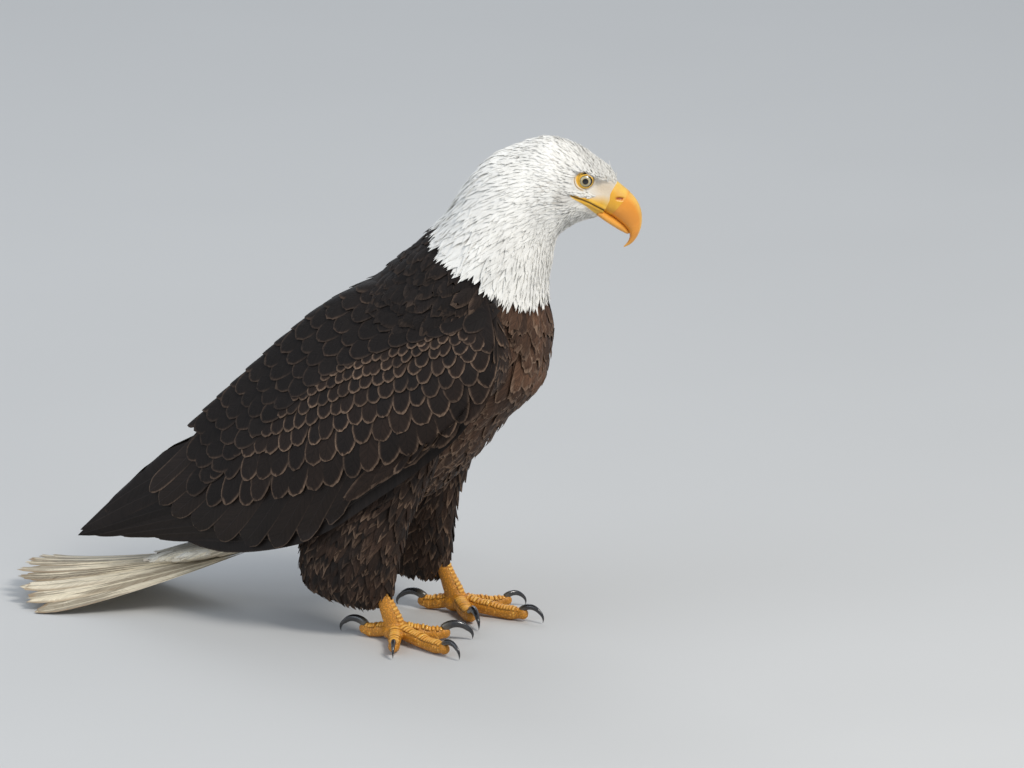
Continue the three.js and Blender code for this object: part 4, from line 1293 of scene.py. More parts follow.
class EAGLE_OT_claws(Operator):
    """Adds the eight curved claws"""

    bl_idname = "eagle.claws"
    bl_label = "Claws"

    def execute(self, context):
        w = new_material("Claw", 0.22, Specular_IOR_Level=0.6, Coat_Weight=0.6, Coat_Roughness=0.12)
        slow, quick = w.mottle(160.0, 1200.0)
        shade = w.mix(w.times(slow, 0.6), settings()[1].claw, (0.045, 0.042, 0.04))
        material = w.finish(w.mix(w.attribute("ring"), shade, (0.1, 0.085, 0.06)), quick, 0.12, 0.0003)
        steps, sides = 40, 24
        # A groove runs under the claw.
        under = np.clip(-np.sin(circle(sides)), 0, 1)[None, :, None] ** 3
        for side, name in SIDES:
            for digit, row in enumerate(TOES[side], 1):
                middles, across, up, wide, tall = claw_stations(side, row, steps)
                rings = tube_rings(middles, across, up, wide, tall, sides)
                rings += up[:, None] * (tall * 0.22)[:, None, None] * under
                rings[..., 2] = np.maximum(rings[..., 2], ABOVE_FLOOR)
                piece = solid(f"talon_{name}_{digit}", [rings], material)
                root = np.repeat(1 - smooth(0.0, 0.25, np.linspace(0, 1, steps)), sides)
                mark(piece.data, "ring", [*root, 1, 0])
                ride(piece, "claws", f"claw_{name}_{digit}")
        return {"FINISHED"}


# ---------------- plumage
def white_end(angle):
    """Rib at which the white of the neck ends, by the angle round the body."""
    return np.interp(np.abs(angle), [0, 0.8, 1.6, 2.64, math.pi], NAPE_TO_THROAT)


def down_the_body(a, b, rng, spread=7.0, flow=0.0):
    """Headings along the body, away from the bill, each turned a little."""
    pa, _, normal = BODY_SKIN.partials(a, b)
    swing = np.radians(spread) * rng.standard_normal(len(a))
    swing = swing + math.radians(flow) * np.sin(3.1 * b + 1.9 * a) * np.cos(1.7 * a + 0.4 + b)
    return unit(pa) * np.cos(swing)[:, None] + np.cross(normal, unit(pa)) * np.sin(swing)[:, None]


def over_ribs(*values):
    """A size given at some ribs, as a function of the rib."""
    return lambda t: np.interp(t, *np.array(values, float).T)


def kept(keep, *arrays):
    """The arrays' rows where keep is true."""
    return (v[keep] for v in arrays)


# Rib and angle of each tuft of the forehead.
TUFTS = [(0.12, -0.25), (0.16, 0.1), (0.1, 0.35), (0.75, -0.35), (0.8, -0.1), (0.85, 0.2)]
# Yellowish stains of the face: s, z, their reach each way and strength.
STAINS = [(40, 458, 12, 7, 0.6), (33, 474.5, 6, 4.5, 1.0), (36, 494.5, 5, 1.4, 1.0), (30, 462, 9, 5, 0.35)]


class EAGLE_OT_head(Operator):
    """Adds the small white feathers of the head, and the bristles of the lores"""

    bl_idname = "eagle.head"
    bl_label = "Head plumage"

    def execute(self, context):
        coat = Plumage(1)
        rng = coat.rng
        length = over_ribs((0, 3.2), (1, 5), (2, 7.5), (3, 11), (4, 17), (5, 24), (6, 30))
        width = over_ribs((0, 1.5), (1, 2.1), (2, 2.9), (3, 3.6), (4, 4.4), (5, 5.2), (6, 6))
        a, b = rows_over(BODY_SKIN, rng, (0.03, 5.2), lambda t: 0.3 * length(t), lambda t: 0.62 * width(t))
        s, out, z = from_head(body_point(a, b))
        bare, lores = bare_skin(s, out, z)
        mouth = (np.abs(near_line(s, z, MOUTH)[0]) < 1.3) & (s > 45)
        keep = (bare < 0.35) & ~mouth & (rng.uniform(size=len(a)) > 0.9 * lores) & (lores < 0.55)
        a, b, lores = kept(keep & (crease(s, out, z)[1] < 0.5), a, b, lores)
        heading = down_the_body(a, b, rng, 7, 8)
        # Where a feather's tip would lie on bare skin it is left out too.
        keep = np.ones(len(a), bool)
        for share in (0.25, 0.6, 0.9):
            there = from_head(body_point(a, b) + heading * length(a)[:, None] * share)
            keep &= (bare_skin(*there)[0] < 0.5) & (crease(*there)[1] < 0.5)
        a, b, heading, lores = kept(keep, a, b, heading, lores)
        size = length(a) * rng.uniform(0.85, 1.2, len(a)) * (1 - 0.35 * lores)
        s, _, z = from_head(body_point(a, b))
        stain = 0.15 * lores + sum(share * bump(s, z, *hill) for *hill, share in STAINS)
        tips = coat.lift * rng.uniform(0.1, 1.0, len(a)) * (0.4 + 0.2 * a)
        coat.lay(BODY_SKIN, FACE_FORM, a, b, heading, size, width(a) * (1 - 0.55 * lores),
                 -along(COAT, a) * 0.95, tips, stacked(np.clip(stain, 0, 1), 0.0), dome=0.25, roll=0.15,
                 thick=0.25, curl=0.06 * rng.standard_normal(len(a)))
        # Small tufts that stand off the forehead above the bill.
        a, b = np.array(TUFTS).T
        heading = down_the_body(a, b, rng, 12)
        coat.lay(BODY_SKIN, HACKLE_FORM, a, b, heading, 9.0, 1.8, -0.6, rng.uniform(2.6, 4.4, len(a)),
                 (0.3, 0), dome=0.2, roll=0.3, thick=0.3, power=1.4)
        ride(coat.piece("head_plumage", white_material("Head plumage", 0.9)), "white_feathers")
        return {"FINISHED"}


def white_material(name, spacing):
    """White feathers, yellowish where they are stained, and greyer towards their roots as painted shade
    between the locks.
    """
    look = settings()[0]
    return feather_material(name, look.white, blended(0.4, look.white, look.stain), (0.93, 0.9, 0.82),
                            root=shaded(look.white, (0.86, 0.855, 0.85)), spacing=spacing, contrast=0.08,
                            bump=0.25, variety=0.08, shaft_width=0.25, gloss=0.25)


class EAGLE_OT_neck(Operator):
    """Adds the long white hackles of the neck"""

    bl_idname = "eagle.neck"
    bl_label = "Neck hackles"

    def execute(self, context):
        coat = Plumage(2)
        rng = coat.rng
        length = over_ribs((3, 13), (4, 20), (5, 29), (6, 36), (7, 40), (8, 44), (9, 46))
        width = over_ribs((3, 4), (4, 5), (5, 6), (6, 7), (7, 8), (8, 9), (9, 9.5))
        for layer in range(2):
            a, b = rows_over(BODY_SKIN, rng, (3.6, 8.4), lambda t: 0.24 * length(t),
                             lambda t: 0.56 * width(t), jitter=0.45)
            heading = down_the_body(a, b, rng, 6, 9)
            size = length(a) * rng.uniform(0.8, 1.2, len(a))
            # Tips end on the ragged border of the white, drawn together into pointed locks.
            lock = b / (2 * math.pi) * LOCKS + 0.6 * np.sin(2 * b + 0.7) + 0.35 * np.sin(5 * b)
            off = lock - np.round(lock)
            _, round_way, normal = BODY_SKIN.partials(a, b)
            side_way = np.cross(normal, heading)
            turned = np.sign((side_way * round_way).sum(-1)) * off * 0.35 * smooth(6.5, 8.4, a)
            heading = heading - side_way * turned[:, None]
            reach = np.linalg.norm(body_point(a + 0.05, b) - body_point(a - 0.05, b), axis=-1) / 0.1
            ends = white_end(b) + 0.24 - 0.7 * np.abs(off) + 0.07 * rng.standard_normal(len(a))
            room = (ends - a) * reach
            a, b, heading, size, room = kept(room > 0.45 * size, a, b, heading, size, room)
            coat.lay(BODY_SKIN, HACKLE_FORM, a, b, heading, np.minimum(size, room),
                     width(a) * rng.uniform(0.95, 1.25, len(a)), -along(COAT, a) * 0.75,
                     coat.lift * rng.uniform(-0.5, 1.0, len(a)) + 0.5 * layer, (0, 0), roll=0.3, thick=0.4,
                     curl=0.07 * rng.standard_normal(len(a)))
        ride(coat.piece("neck_hackles", white_material("Neck hackles", 1.1)), "white_feathers")
        return {"FINISHED"}


def brown_material(name, dark=1.0, ragged=1.2, **lie):
    """Brown feathers with a pale rim and a soft glow inside it."""
    look = settings()[0]
    return feather_material(name, shaded(look.dark, dark), look.warm, (0.012, 0.009, 0.008), edge=look.rim,
                            halo=blended(0.35, look.warm, look.dark), ragged=ragged, **lie)


def under_wing(points, side):
    """Whether body points lie hidden under a folded wing."""
    t, f = (g.ravel() for g in grid_of(np.linspace(0.3, 8.8, 60), np.linspace(0.04, 0.92, 18)))
    wing = wing_point(side, t, f * shield_edge(t))
    gap = np.hypot(points[:, None, 0] - wing[None, :, 0], points[:, None, 2] - wing[None, :, 2])
    outwards = side * points[:, 1]
    return (gap.min(1) < 12) & (outwards < side * wing[gap.argmin(1), 1] - 3) & (outwards > 12)


def over_trunk(points):
    """Heights of points over the trunk's outline, and whether its nearest place is white."""
    t, turn = (g.ravel() for g in grid_of(np.linspace(7, 15, 70), np.linspace(-math.pi, math.pi, 90)))
    trunk, (_, _, normal) = body_point(t, turn), BODY_SKIN.partials(t, turn)
    flat = points.reshape(-1, 3)
    nearest = np.concatenate([((trunk[None] - chunk[:, None]) ** 2).sum(-1).argmin(1)
                              for chunk in np.array_split(flat, 1 + len(flat) // 200)])
    height = ((flat - trunk[nearest]) * normal[nearest]).sum(-1)
    white = t[nearest] < white_end(turn[nearest]) + 0.05
    return height.reshape(points.shape[:-1]), white.reshape(points.shape[:-1])


def fits_trunk(surface, path_a, path_b):
    """Whether feathers along these paths neither root inside the trunk nor lie over the white neck."""
    height, white = over_trunk(surface.point(path_a, path_b))
    return (height[:, height.shape[1] // 2] > -9) & ~(white & (height > -7) & (height < 40)).any(1)


class EAGLE_OT_trunk(Operator):
    """Adds the brown contour feathers of breast, belly, flanks, back and rump"""

    bl_idname = "eagle.trunk"
    bl_label = "Trunk plumage"

    def execute(self, context):
        coat = Plumage(3)
        rng = coat.rng
        length = over_ribs((8, 38), (10, 44), (12, 40), (14, 34), (16, 30), (17, 26))
        width = over_ribs((8, 15), (10, 18), (12, 16), (14, 14), (17, 13))
        a, b = rows_over(BODY_SKIN, rng, (7.9, 16.6), lambda t: 0.3 * length(t), lambda t: 0.6 * width(t))
        p = body_point(a, b)
        a, b = kept(~(under_wing(p, -1) | under_wing(p, 1)), a, b)
        n = len(a)
        front = 0.5 - 0.5 * np.cos(b)
        breast = smooth(0.5, 0.95, front) * (1 - smooth(12, 14.5, a))
        heading = down_the_body(a, b, rng, 7, 6)
        size = length(a) * rng.uniform(0.88, 1.12, n) * (1 + 0.1 * (1 - front))
        wide = width(a) * rng.uniform(0.88, 1.1, n) * (1 + 0.3 * (1 - front))
        patch = 0.5 + 0.5 * np.sin(2.3 * a + 5 * b) * np.sin(3.1 * b - 1.4 * a)
        # The breast's warm brown is partly its own colour and partly painted sunlight, warmest on the upper
        # breast.
        warmer_above = 0.55 + 0.45 * (1 - smooth(9.8, 11.6, a))
        warmth = np.clip(breast * warmer_above * (0.35 + 0.75 * patch) * rng.uniform(0.6, 1.2, n), 0, 1)
        rim = np.clip(0.15 + 0.85 * smooth(0.45, 0.85, front), 0, 1) * rng.uniform(0.35, 1, n)
        tips = coat.lift * rng.uniform(-0.8, 1.2, n)
        a, b, heading, size, wide, tips, tone = kept(
            a > white_end(b) - 0.75, a, b, heading, size, wide, tips, stacked(warmth, rim))
        coat.lay(BODY_SKIN, CONTOUR_FORM, a, b, heading, size, wide, -along(COAT, a) * 0.8, tips, tone,
                 dome=1.0, roll=0.5, curl=0.05 * rng.standard_normal(len(a)), ragged=0.06)
        material = brown_material("Body plumage", edge_width=0.6, edge_soft=2.4, contrast=0.8)
        ride(coat.piece("trunk_plumage", material), "body_feathers")
        return {"FINISHED"}


class EAGLE_OT_thighs(Operator):
    """Adds the feathered trousers of both legs"""

    bl_idname = "eagle.thighs"
    bl_label = "Thigh plumage"

    def execute(self, context):
        for side, name in SIDES:
            coat, surface = Plumage(4 + side), THIGH_SKIN[side]
            rng = coat.rng
            a, b = rows_over(surface, rng, (-0.2, 6.4), lambda t: 7.0, lambda t: 7.0, jitter=0.45)
            n = len(a)
            heading = unit(surface.partials(a, b)[0]) + [-0.22, 0, 0] + 0.14 * rng.standard_normal((n, 3))
            room = surface.point(a, b)[:, 2] - 30
            size = np.minimum(rng.uniform(25, 36, n), np.maximum(room * 1.25, 12))
            tone = stacked(0.25 * rng.uniform(0, 1, n), 0.75 * rng.uniform(0, 1, n) ** 2.5)
            coat.lay(surface, LEG_FORM, a, b, heading, size, rng.uniform(9, 13, n), -5.5,
                     coat.lift * rng.uniform(-0.8, 1.8, n), tone, dome=0.9, roll=0.6,
                     curl=0.06 * rng.standard_normal(n), ragged=0.06)
            material = brown_material("Thigh plumage " + name, edge_width=0.7, edge_soft=1.8)
            ride(coat.piece(f"thigh_plumage_{name}", material), "body_feathers")
        return {"FINISHED"}


# Rows of coverts from the lower edge up: distance of the tips from that edge, gap, width, length.
COVERT_ROWS = [
    (0, 23, 27, 74), (26, 22, 26, 58), (49, 18, 22, 44), (68, 15.5, 19, 36), (84, 13.5, 16.5, 30),
    (97, 11.5, 14.5, 27), (108, 10.5, 13, 25), (118, 10, 12.5, 23), (127, 9.5, 12, 22), (136, 9.5, 12, 22),
    (145, 9.5, 12, 22), (154, 9.5, 12, 22), (163, 10.5, 13, 24), (173, 12, 14.5, 25), (184, 13, 16, 27),
    (196, 15, 18, 30), (209, 17, 20, 32),
]
SCAPULARS_COVER = 67  # millimetres below the upper edge where the scapulars hide the coverts
# Scapulars: distance of the tips below the upper edge, gap, width, length.
SCAPULAR_ROWS = [(62, 21, 26, 58), (45, 22, 27, 60), (28, 22, 28, 60), (11, 22, 28, 58), (-6, 22, 28, 56)]
# Long coverts along the wrist's lower edge: places of their tips (t, f) and their lengths.
WRIST_QUILLS = [(4.6, 0.955, 118), (3.9, 0.965, 108), (3.2, 0.975, 96), (2.5, 0.985, 82), (1.8, 0.99, 64)]
# Places (rib, angle) down the trunk's side, and (t, f) down the wing's front edge, that a fairing joins.
FAIRING_TRUNK = [(9.1, 1.9), (9.7, 2.3), (10.4, 2.5), (11.1, 2.45), (12.0, 2.2), (12.9, 1.95)]
FAIRING_WING = [(0.1, 0.1), (0.05, 0.5), (0.1, 0.9), (0.9, 0.95), (1.9, 0.95), (2.9, 0.95)]
LEFT_WRIST_START = 0.8  # the left wing's wrist is tucked behind the breast from this row


def slanted(slope, sideways=0.0):
    """Directions that point backwards and down, slope below the level."""
    return stacked(-np.cos(slope), sideways, -np.sin(slope))


def fairing(side):
    """The surface that closes the gap between the breast and the wing's front edge."""
    inner = np.array([body_point(t, side * turn) for t, turn in FAIRING_TRUNK])
    least = LEFT_WRIST_START if side > 0 else 0.0
    outer = np.array([wing_point(side, max(t, least), f) for t, f in FAIRING_WING])

    def point(a, b):
        start, end = along(inner, a * 5), along(outer, a * 5)
        p = start + (end - start) * b[..., None]
        swell = (5 if side < 0 else 1.5) * np.sin(math.pi * np.clip(b, 0, 1)) * smooth(0, 0.3, a)
        return p + swell[..., None] * np.array([0.75, 0.6 * side, -0.1])

    return Surface(point, 1, (-0.4, -0.3), (1.3, 1.3)).faced(0.5, 0.5, (1, 0, 0))


def row_places(side, f, gap, start, rng, low=0.3, high=8.6):
    """Places (t, f) at equal gaps along a line over the wing; f is a function of t."""
    t = np.linspace(low, high, 400)
    line = wing_point(side, t, f(t))
    run = np.concatenate([[0], np.cumsum(np.linalg.norm(np.diff(line, axis=0), axis=-1))])
    where = np.arange(gap * start, run[-1], gap)
    tips = np.interp(where + rng.uniform(-0.12, 0.12, len(where)) * gap, run, t)
    return tips, f(tips)


def lay_on_wing(coat, side, t, f, heading, size, width, low, high, tone, **lie):
    """Lays feathers with their tips at t, f, shortened where they would root beyond the wing."""
    surface = WING_SKIN[side]
    path_t, path_f = surface.followed(t, f, -heading, size)
    within = ((path_f > -0.16) & (path_t > 0)).mean(1)
    size, width = size * np.clip(within, 0.3, 1), width * np.clip(1.5 * within, 0.5, 1)
    path = surface.followed(t, f, -heading, size, 2)
    keep = (within > 0.25) & fits_trunk(surface, *path) & ((t > LEFT_WRIST_START) | (side < 0))
    high, tone = high + 0 * t, tone + 0 * t[:, None]
    t, f, heading, size, width, high, tone = kept(keep, t, f, heading, size, width, high, tone)
    coat.lay(surface, COVERT_FORM, t, f, heading, size, width, low, high, tone, roll=0.2, from_tip=True,
             lean=-0.3 * side, **lie)


def lay_coverts(coat, side):
    """The wing's long lower coverts, its rows of coverts, and its scapulars."""
    rng = coat.rng
    tall = lambda t: np.linalg.norm(wing_point(side, t, 0 * t) - wing_point(side, t, 0 * t + 1), axis=-1)
    t, f, size = np.array(WRIST_QUILLS).T
    heading = slanted(np.radians(np.linspace(44, 60, len(t))))
    lay_on_wing(coat, side, t, f, heading, size, 19.0, -5.0, -2.2, np.array([[0.1, 0.35]]), dome=0.8,
                thick=0.6)
    for number, (offset, gap, wide, long) in enumerate(COVERT_ROWS):
        t, f = row_places(side, lambda t: shield_edge(t) - offset / tall(t), gap, 0.3 + 0.5 * (number % 2),
                          rng)
        t, f = kept((f > 0.03) & ((f * tall(t) > SCAPULARS_COVER) | (t < 1.3)), t, f)
        n = len(t)
        f = f + rng.normal(0, 0.008, n)
        upper = smooth(50, 150, offset)
        slope = ((1 - upper) * np.interp(t, [0, 3, 6, 8.5], [100, 92, 80, 58])
                 + upper * np.interp(t, [0, 3, 6, 8.5], [84, 64, 52, 42]))
        heading = slanted(np.radians(slope)) + 0.07 * rng.standard_normal((n, 3))
        late = smooth(6.0, 8.4, t)
        warmth = 0.1 * rng.uniform(0, 1, n) * (1 - late)
        rim = rng.uniform(0.35, 1, n) * (1 - 0.45 * late) * (1.0 if offset < 150 else 0.5)
        lay_on_wing(coat, side, t, f, heading, long * rng.uniform(0.94, 1.08, n),
                    wide * rng.uniform(0.92, 1.06, n), -3.6, coat.lift * rng.uniform(0.35, 0.9, n),
                    stacked(warmth, rim), dome=0.45, thick=0.45, ragged=0.012)
    for number, (down, gap, wide, long) in enumerate(SCAPULAR_ROWS):
        t, f = row_places(side, lambda t: down / tall(t), gap, 0.3 + 0.5 * (number % 2), rng, 1.5, 9.0)
        n = len(t)
        slope = np.radians(np.interp(t, [0, 4, 9], [50, 43, 38])) + 0.06 * rng.standard_normal(n)
        tone = stacked(0.0, rng.uniform(0.08, 0.28, n))
        heading = slanted(slope, 0.03 * rng.standard_normal(n))
        lay_on_wing(coat, side, t, f, heading, long * rng.uniform(0.92, 1.08, n),
                    wide * rng.uniform(0.95, 1.05, n), -3.6, coat.lift * rng.uniform(0.4, 1.0, n) + 0.5,
                    tone, dome=0.45, ragged=0.012)


def lay_fairing(coat, side):
    """Contour feathers between the breast and the wing's front edge."""
    rng, surface = coat.rng, fairing(side)
    a, b = rows_over(surface, rng, (0.03, 1.0), lambda a: 9.0, lambda a: 8.0, (-0.12, 1.02))
    heading = np.array([-0.35, 0, -1.0]) + 0.08 * rng.standard_normal((len(a), 3))
    _, white = over_trunk(surface.point(*surface.followed(a, b, heading, np.full(len(a), 26.0), 2)))
    a, b, heading = kept(~white.any(1), a, b, heading)
    n = len(a)
    tone = stacked(np.clip(0.5 - 0.5 * b, 0, 0.6) * rng.uniform(0.4, 1, n), rng.uniform(0.3, 0.8, n))
    coat.lay(surface, CONTOUR_FORM, a, b, heading, rng.uniform(24, 30, n), rng.uniform(12, 15, n), -5.0,
             coat.lift * rng.uniform(-0.8, 0.8, n) - 1.0, tone, dome=0.9, roll=0.4)


class EAGLE_OT_coverts(Operator):
    """Adds the coverts and scapulars of both wings, row over row"""

    bl_idname = "eagle.coverts"
    bl_label = "Wing coverts"

    def execute(self, context):
        for side, name in SIDES:
            coat = Plumage(8 + side)
            lay_coverts(coat, side)
            lay_fairing(coat, side)
            material = brown_material("Wing coverts " + name, 0.85, 0.5, variety=0.3, edge_soft=1.7,
                                      halo_width=5.0)
            ride(coat.piece(f"covert_plumage_{name}", material), "body_feathers", f"wing_{name}_coverts")
        return {"FINISHED"}


class EAGLE_OT_flight(Operator):
    """Adds the secondaries and primaries of both wings"""

    bl_idname = "eagle.flight"
    bl_label = "Flight feathers"

    def execute(self, context):
        look = settings()[0]
        material = feather_material(
            "Flight feathers", shaded(look.dark, 0.8), shaded(look.warm, 0.5), (0.022, 0.016, 0.013),
            edge=look.rim, edge_width=0.5, edge_soft=0.9, spacing=1.5, roughness=0.5, variety=0.5,
            shaft_width=0.9, slant=1.8, gloss=0.2)
        for side, name in SIDES:
            # Each fan's feathers, depth under the coverts, seed, warmth, rim and least width of a vane.
            for kind, table, depth, number, warmth, rim, least in (
                    ("secondaries", SECONDARIES, 3.0, 20, 0.12, 0.4, 8.0),
                    ("primaries", PRIMARIES, 8.0, 30, 0.03, 0.1, 17.0)):
                coat, count = Plumage(number + side), len(table)
                fan = Surface(fan_point(side, table, depth), -side, (0, -1), (1.2, count))
                tone = stacked(warmth * coat.rng.uniform(0.3, 1.2, count), rim)
                lay_fan(coat, fan.faced(0.5, 3.0, (0, side, 0)), np.arange(count), 1.0, -np.ones(count),
                        -1.1, -0.7, 1.7 / count, tone, least=least)
                ride(coat.piece(f"{kind}_plumage_{name}", material), "flight_feathers", f"wing_{name}_{kind}")
        return {"FINISHED"}


def rump_point(a, b):
    """Where the tail coverts lie, a along them and b round the tail's root."""
    return stacked(-178 - 120 * a, 34 * np.sin(b) * np.interp(a, [0, 0.6, 1], [0.95, 1, 0.5]),
                   rump_height(a) + np.interp(a, [0, 0.3, 0.62, 0.85, 1], [16, 13, 8, 5, 3]) * np.cos(b))


class EAGLE_OT_tail(Operator):
    """Adds the fanned tail feathers and their coverts"""

    bl_idname = "eagle.tail"
    bl_label = "Tail feathers"

    def execute(self, context):
        look, coat = settings()[0], Plumage(40)
        rng, middle = coat.rng, (TAIL_FEATHERS - 1) / 2
        # The tail's brown edges and streaks are partly staining and partly painted shade between the feathers.
        material = feather_material(
            "Tail feathers", shaded(look.white, (0.92, 0.88, 0.8)), (0.72, 0.62, 0.44), (0.8, 0.7, 0.5),
            edge=(0.3, 0.2, 0.11), streak_and_shade=shaded(look.stain, 0.5), edge_soft=3.0, spacing=1.6,
            contrast=0.35, roughness=0.55, variety=0.14, shaft_width=1.0, slant=1.7, ragged=1.6, gloss=0.3)
        # The outermost feathers are laid first, and each next one over them.
        order = np.argsort(-np.abs(np.arange(TAIL_FEATHERS) - middle + 0.01))
        places = (order - middle) / middle
        tone = stacked(rng.uniform(0.7, 1.0, TAIL_FEATHERS), rng.uniform(0.5, 1, TAIL_FEATHERS))
        lay_fan(coat, TAIL_SKIN, places, 1 / middle, np.where(places > 0, 1.0, -1.0), -0.5, 0.1, 0.09, tone,
                dome=0.35, thick=0.35, edges=(0.52, 0.95), ragged=0.016)
        for batch in coat.batches:
            batch["points"][..., 2] = np.maximum(batch["points"][..., 2], TAIL_ABOVE_FLOOR)
        # Coverts over the tail's root.
        rump = Surface(rump_point, -1, (-0.5, -2.5), (1.2, 2.5)).faced(0.4, 0.0, UP)
        for row, place in enumerate([0.44, 0.32, 0.2, 0.08, -0.04, -0.16, -0.28]):
            n = 11 - row % 2
            b = np.linspace(-1.9, 1.9, n) + rng.uniform(-0.06, 0.06, n)
            heading = stacked(-1.0, 0.28 * np.sin(b) + 0.05 * rng.standard_normal(n), -0.15)
            tone = stacked(rng.uniform(0.0, 0.5, n) + (0.3 if row > 4 else 0), rng.uniform(0.1, 0.6, n))
            coat.lay(rump, COVERT_FORM, place + rng.uniform(-0.03, 0.03, n), b, heading,
                     rng.uniform(60, 78, n), rng.uniform(20, 25, n), -2.0, 0.3, tone, dome=1.2, roll=0.4)
        ride(coat.piece("tail_plumage", material), "tail_feathers", "tail")
        return {"FINISHED"}


LIMBS = 5  # four toes and the shank
PLATE_ROWS, PLATE_COLUMNS = 4, 9
PLATE_POINTS = PLATE_ROWS * PLATE_COLUMNS  # and one more under its middle


def on_unwrap(limb, turn, share):
    """A place on a map of the foot's toes and shank, each unrolled, side by side."""
    return np.array([(limb + 0.5 + 0.45 * turn / math.pi) / LIMBS, 0.02 + 0.96 * share])


class Plates:
    """Gathers the low domes that cover a foot."""

    x, y = (g.reshape(-1, 1) for g in grid_of(np.linspace(-1, 1, PLATE_ROWS),
                                              np.linspace(-1, 1, PLATE_COLUMNS)))
    grid = np.arange(PLATE_POINTS).reshape(PLATE_ROWS, PLATE_COLUMNS)
    rim = [*grid[0], *grid[1:, -1], *grid[-1, -2::-1], *grid[-2:0:-1, 0]]
    plate = grid_faces(grid, turned=True) + [(i, j, PLATE_POINTS) for i, j in zip(rim, rim[1:] + rim[:1])]

    def __init__(self, rng):
        self.rng, self.points, self.faces, self.looks, self.patches = rng, [], [], [], []

    def add(self, centre, across, run, normal, wide, long, bow, thick, spot):
        """A low dome, wide across, long along the toe, bent round it by bow; spot is its place on
        the OFBake map."""
        chance, x, y = self.rng.uniform(0, 1), self.x, self.y
        body = np.maximum(0.0, (1 - np.abs(x) ** 3) * (1 - np.abs(y) ** 6)) ** 0.5
        angle = y * wide / bow
        dome = (centre + across * bow * np.sin(angle) + normal * bow * (np.cos(angle) - 1)
                + run * x * long / 2 * (1 - 0.25 * y * y)
                + (normal * np.cos(angle) + across * np.sin(angle)) * (thick * body - 0.5))
        self.faces += [[i + (PLATE_POINTS + 1) * len(self.points) for i in f] for f in self.plate]
        self.points.append(np.vstack([dome, centre - normal * 1.2]))
        self.looks.append(np.vstack([stacked(chance, body, 0, 1)[:, 0], [chance, 0, 0, 1]]))
        self.patches.append(spot + np.vstack([np.hstack([y, x]), [0, 0]]) * PATCH / 2)


def swung(across, normal, angle):
    """The way that normal turns to by an angle, and the way across it."""
    c, n = math.cos(angle), math.sin(angle)
    return across * n + normal * c, across * c - normal * n


def toe_plates(plates, side):
    """Broad plates along the top of each toe, and small ones down its flanks."""
    rng = plates.rng
    for limb, row in enumerate(TOES[side]):
        middles, across, wide, tall, _ = toe_stations(side, row, 60)
        path = np.linalg.norm(np.diff(middles, axis=0), axis=-1).cumsum()
        where = 3.0
        while where < path[-1] - 0.5:
            k = int(np.searchsorted(path, where))
            step = rng.uniform(3.2, 4.4)
            slope = unit(middles[min(k + 1, 59)] - middles[max(k - 1, 0)])
            normal = np.cross(slope, across)
            normal = normal * (1 if normal[2] > 0 else -1)
            plates.add(middles[k] + normal * (tall[k] - 0.5), across, slope, normal,
                       wide[k] * rng.uniform(0.9, 1.05), step * 1.08, wide[k], 1.25,
                       on_unwrap(limb, 0.0, where / path[-1]))
            for flank in (-1, 1):
                for angle in (1.3, 1.75, 2.15):
                    angle += rng.uniform(-0.12, 0.12)
                    if rng.uniform() < 0.25:
                        continue
                    around, tangent = swung(across * flank, normal, angle)
                    spot = middles[k] + swung(across * flank * wide[k], normal * tall[k], angle)[0]
                    spot = spot - around * 0.7 + slope * rng.uniform(-1.5, 1.5)
                    if spot[2] >= 1.2:
                        plates.add(spot, tangent, slope, around, rng.uniform(1.0, 1.7),
                                   step * rng.uniform(0.6, 0.95), 6.0, 0.35,
                                   on_unwrap(limb, flank * angle, where / path[-1]))
            where += step


def shank_plates(plates, side):
    """Broad plates up the front of the shank's foot, and small ones round the rest."""
    rng, ahead = plates.rng, SHANK_AHEAD
    (base, top), _, _ = shank_at(side, [0, 1])
    shank = unit(top - base)
    for f in np.arange(0.02, 0.95, 0.052):
        middle, a, b = shank_at(side, f)
        if f < 0.45:
            plates.add(middle + ahead * (a - SKIN_UNDER_SCUTES), SIDEWAYS, shank, ahead, b * 0.75, 4.0, b,
                       0.75, on_unwrap(LIMBS - 1, 0.0, f))
        for flank in (-1, 1):
            for angle in np.arange(1.05 if f < 0.45 else 0.15, 3.0, 0.36):
                angle += rng.uniform(-0.1, 0.1)
                around, tangent = swung(SIDEWAYS * flank, ahead, angle)
                spot = middle + swung(SIDEWAYS * flank * b, ahead * a, angle)[0] - around * 0.75
                plates.add(spot + shank * rng.uniform(-1.4, 1.4), tangent, shank, around,
                           rng.uniform(1.1, 1.7), rng.uniform(2.4, 3.4), 7.0, 0.35,
                           on_unwrap(LIMBS - 1, flank * angle, f))


class EAGLE_OT_scutes(Operator):
    """Adds the plates on shanks and toes"""

    bl_idname = "eagle.scutes"
    bl_label = "Scutes"

    def execute(self, context):
        horn = settings()[1]
        w = new_material("Scutes", 0.4, Coat_Weight=0.1)
        chance, body, _ = w.channels("look")
        quick = w.mottle(120.0, 1300.0)["Quick"]
        # Each plate is darker towards its rim: painted shade where it curves down into the grooves.
        colour = w.mix(body, shaded(horn.foot, 0.5), w.mix(chance, horn.scute, horn.foot))
        material = w.finish(w.mix(w.times(quick, 0.2), colour, (0.86, 0.52, 0.14)), quick, 0.2, 0.0003)
        for side, name in SIDES:
            plates = Plates(seeded(50 + side))
            toe_plates(plates, side)
            shank_plates(plates, side)
            points = np.maximum(np.concatenate(plates.points), [-1e9, -1e9, ABOVE_FLOOR])
            piece = new_object(f"scutes_{name}", placed(points), plates.faces, material)
            mark(piece.data, "look", np.concatenate(plates.looks))
            unwrap(piece.data, "OFBake", np.concatenate(plates.patches))
            ride(piece, "feet")
        return {"FINISHED"}


# ---------------- stage
def aimed(piece, place, target):
    """Puts a lamp or camera at a place and turns it to a target."""
    piece.location = place
    piece.rotation_euler = (Vector(target) - piece.location).to_track_quat("-Z", "Y").to_euler()


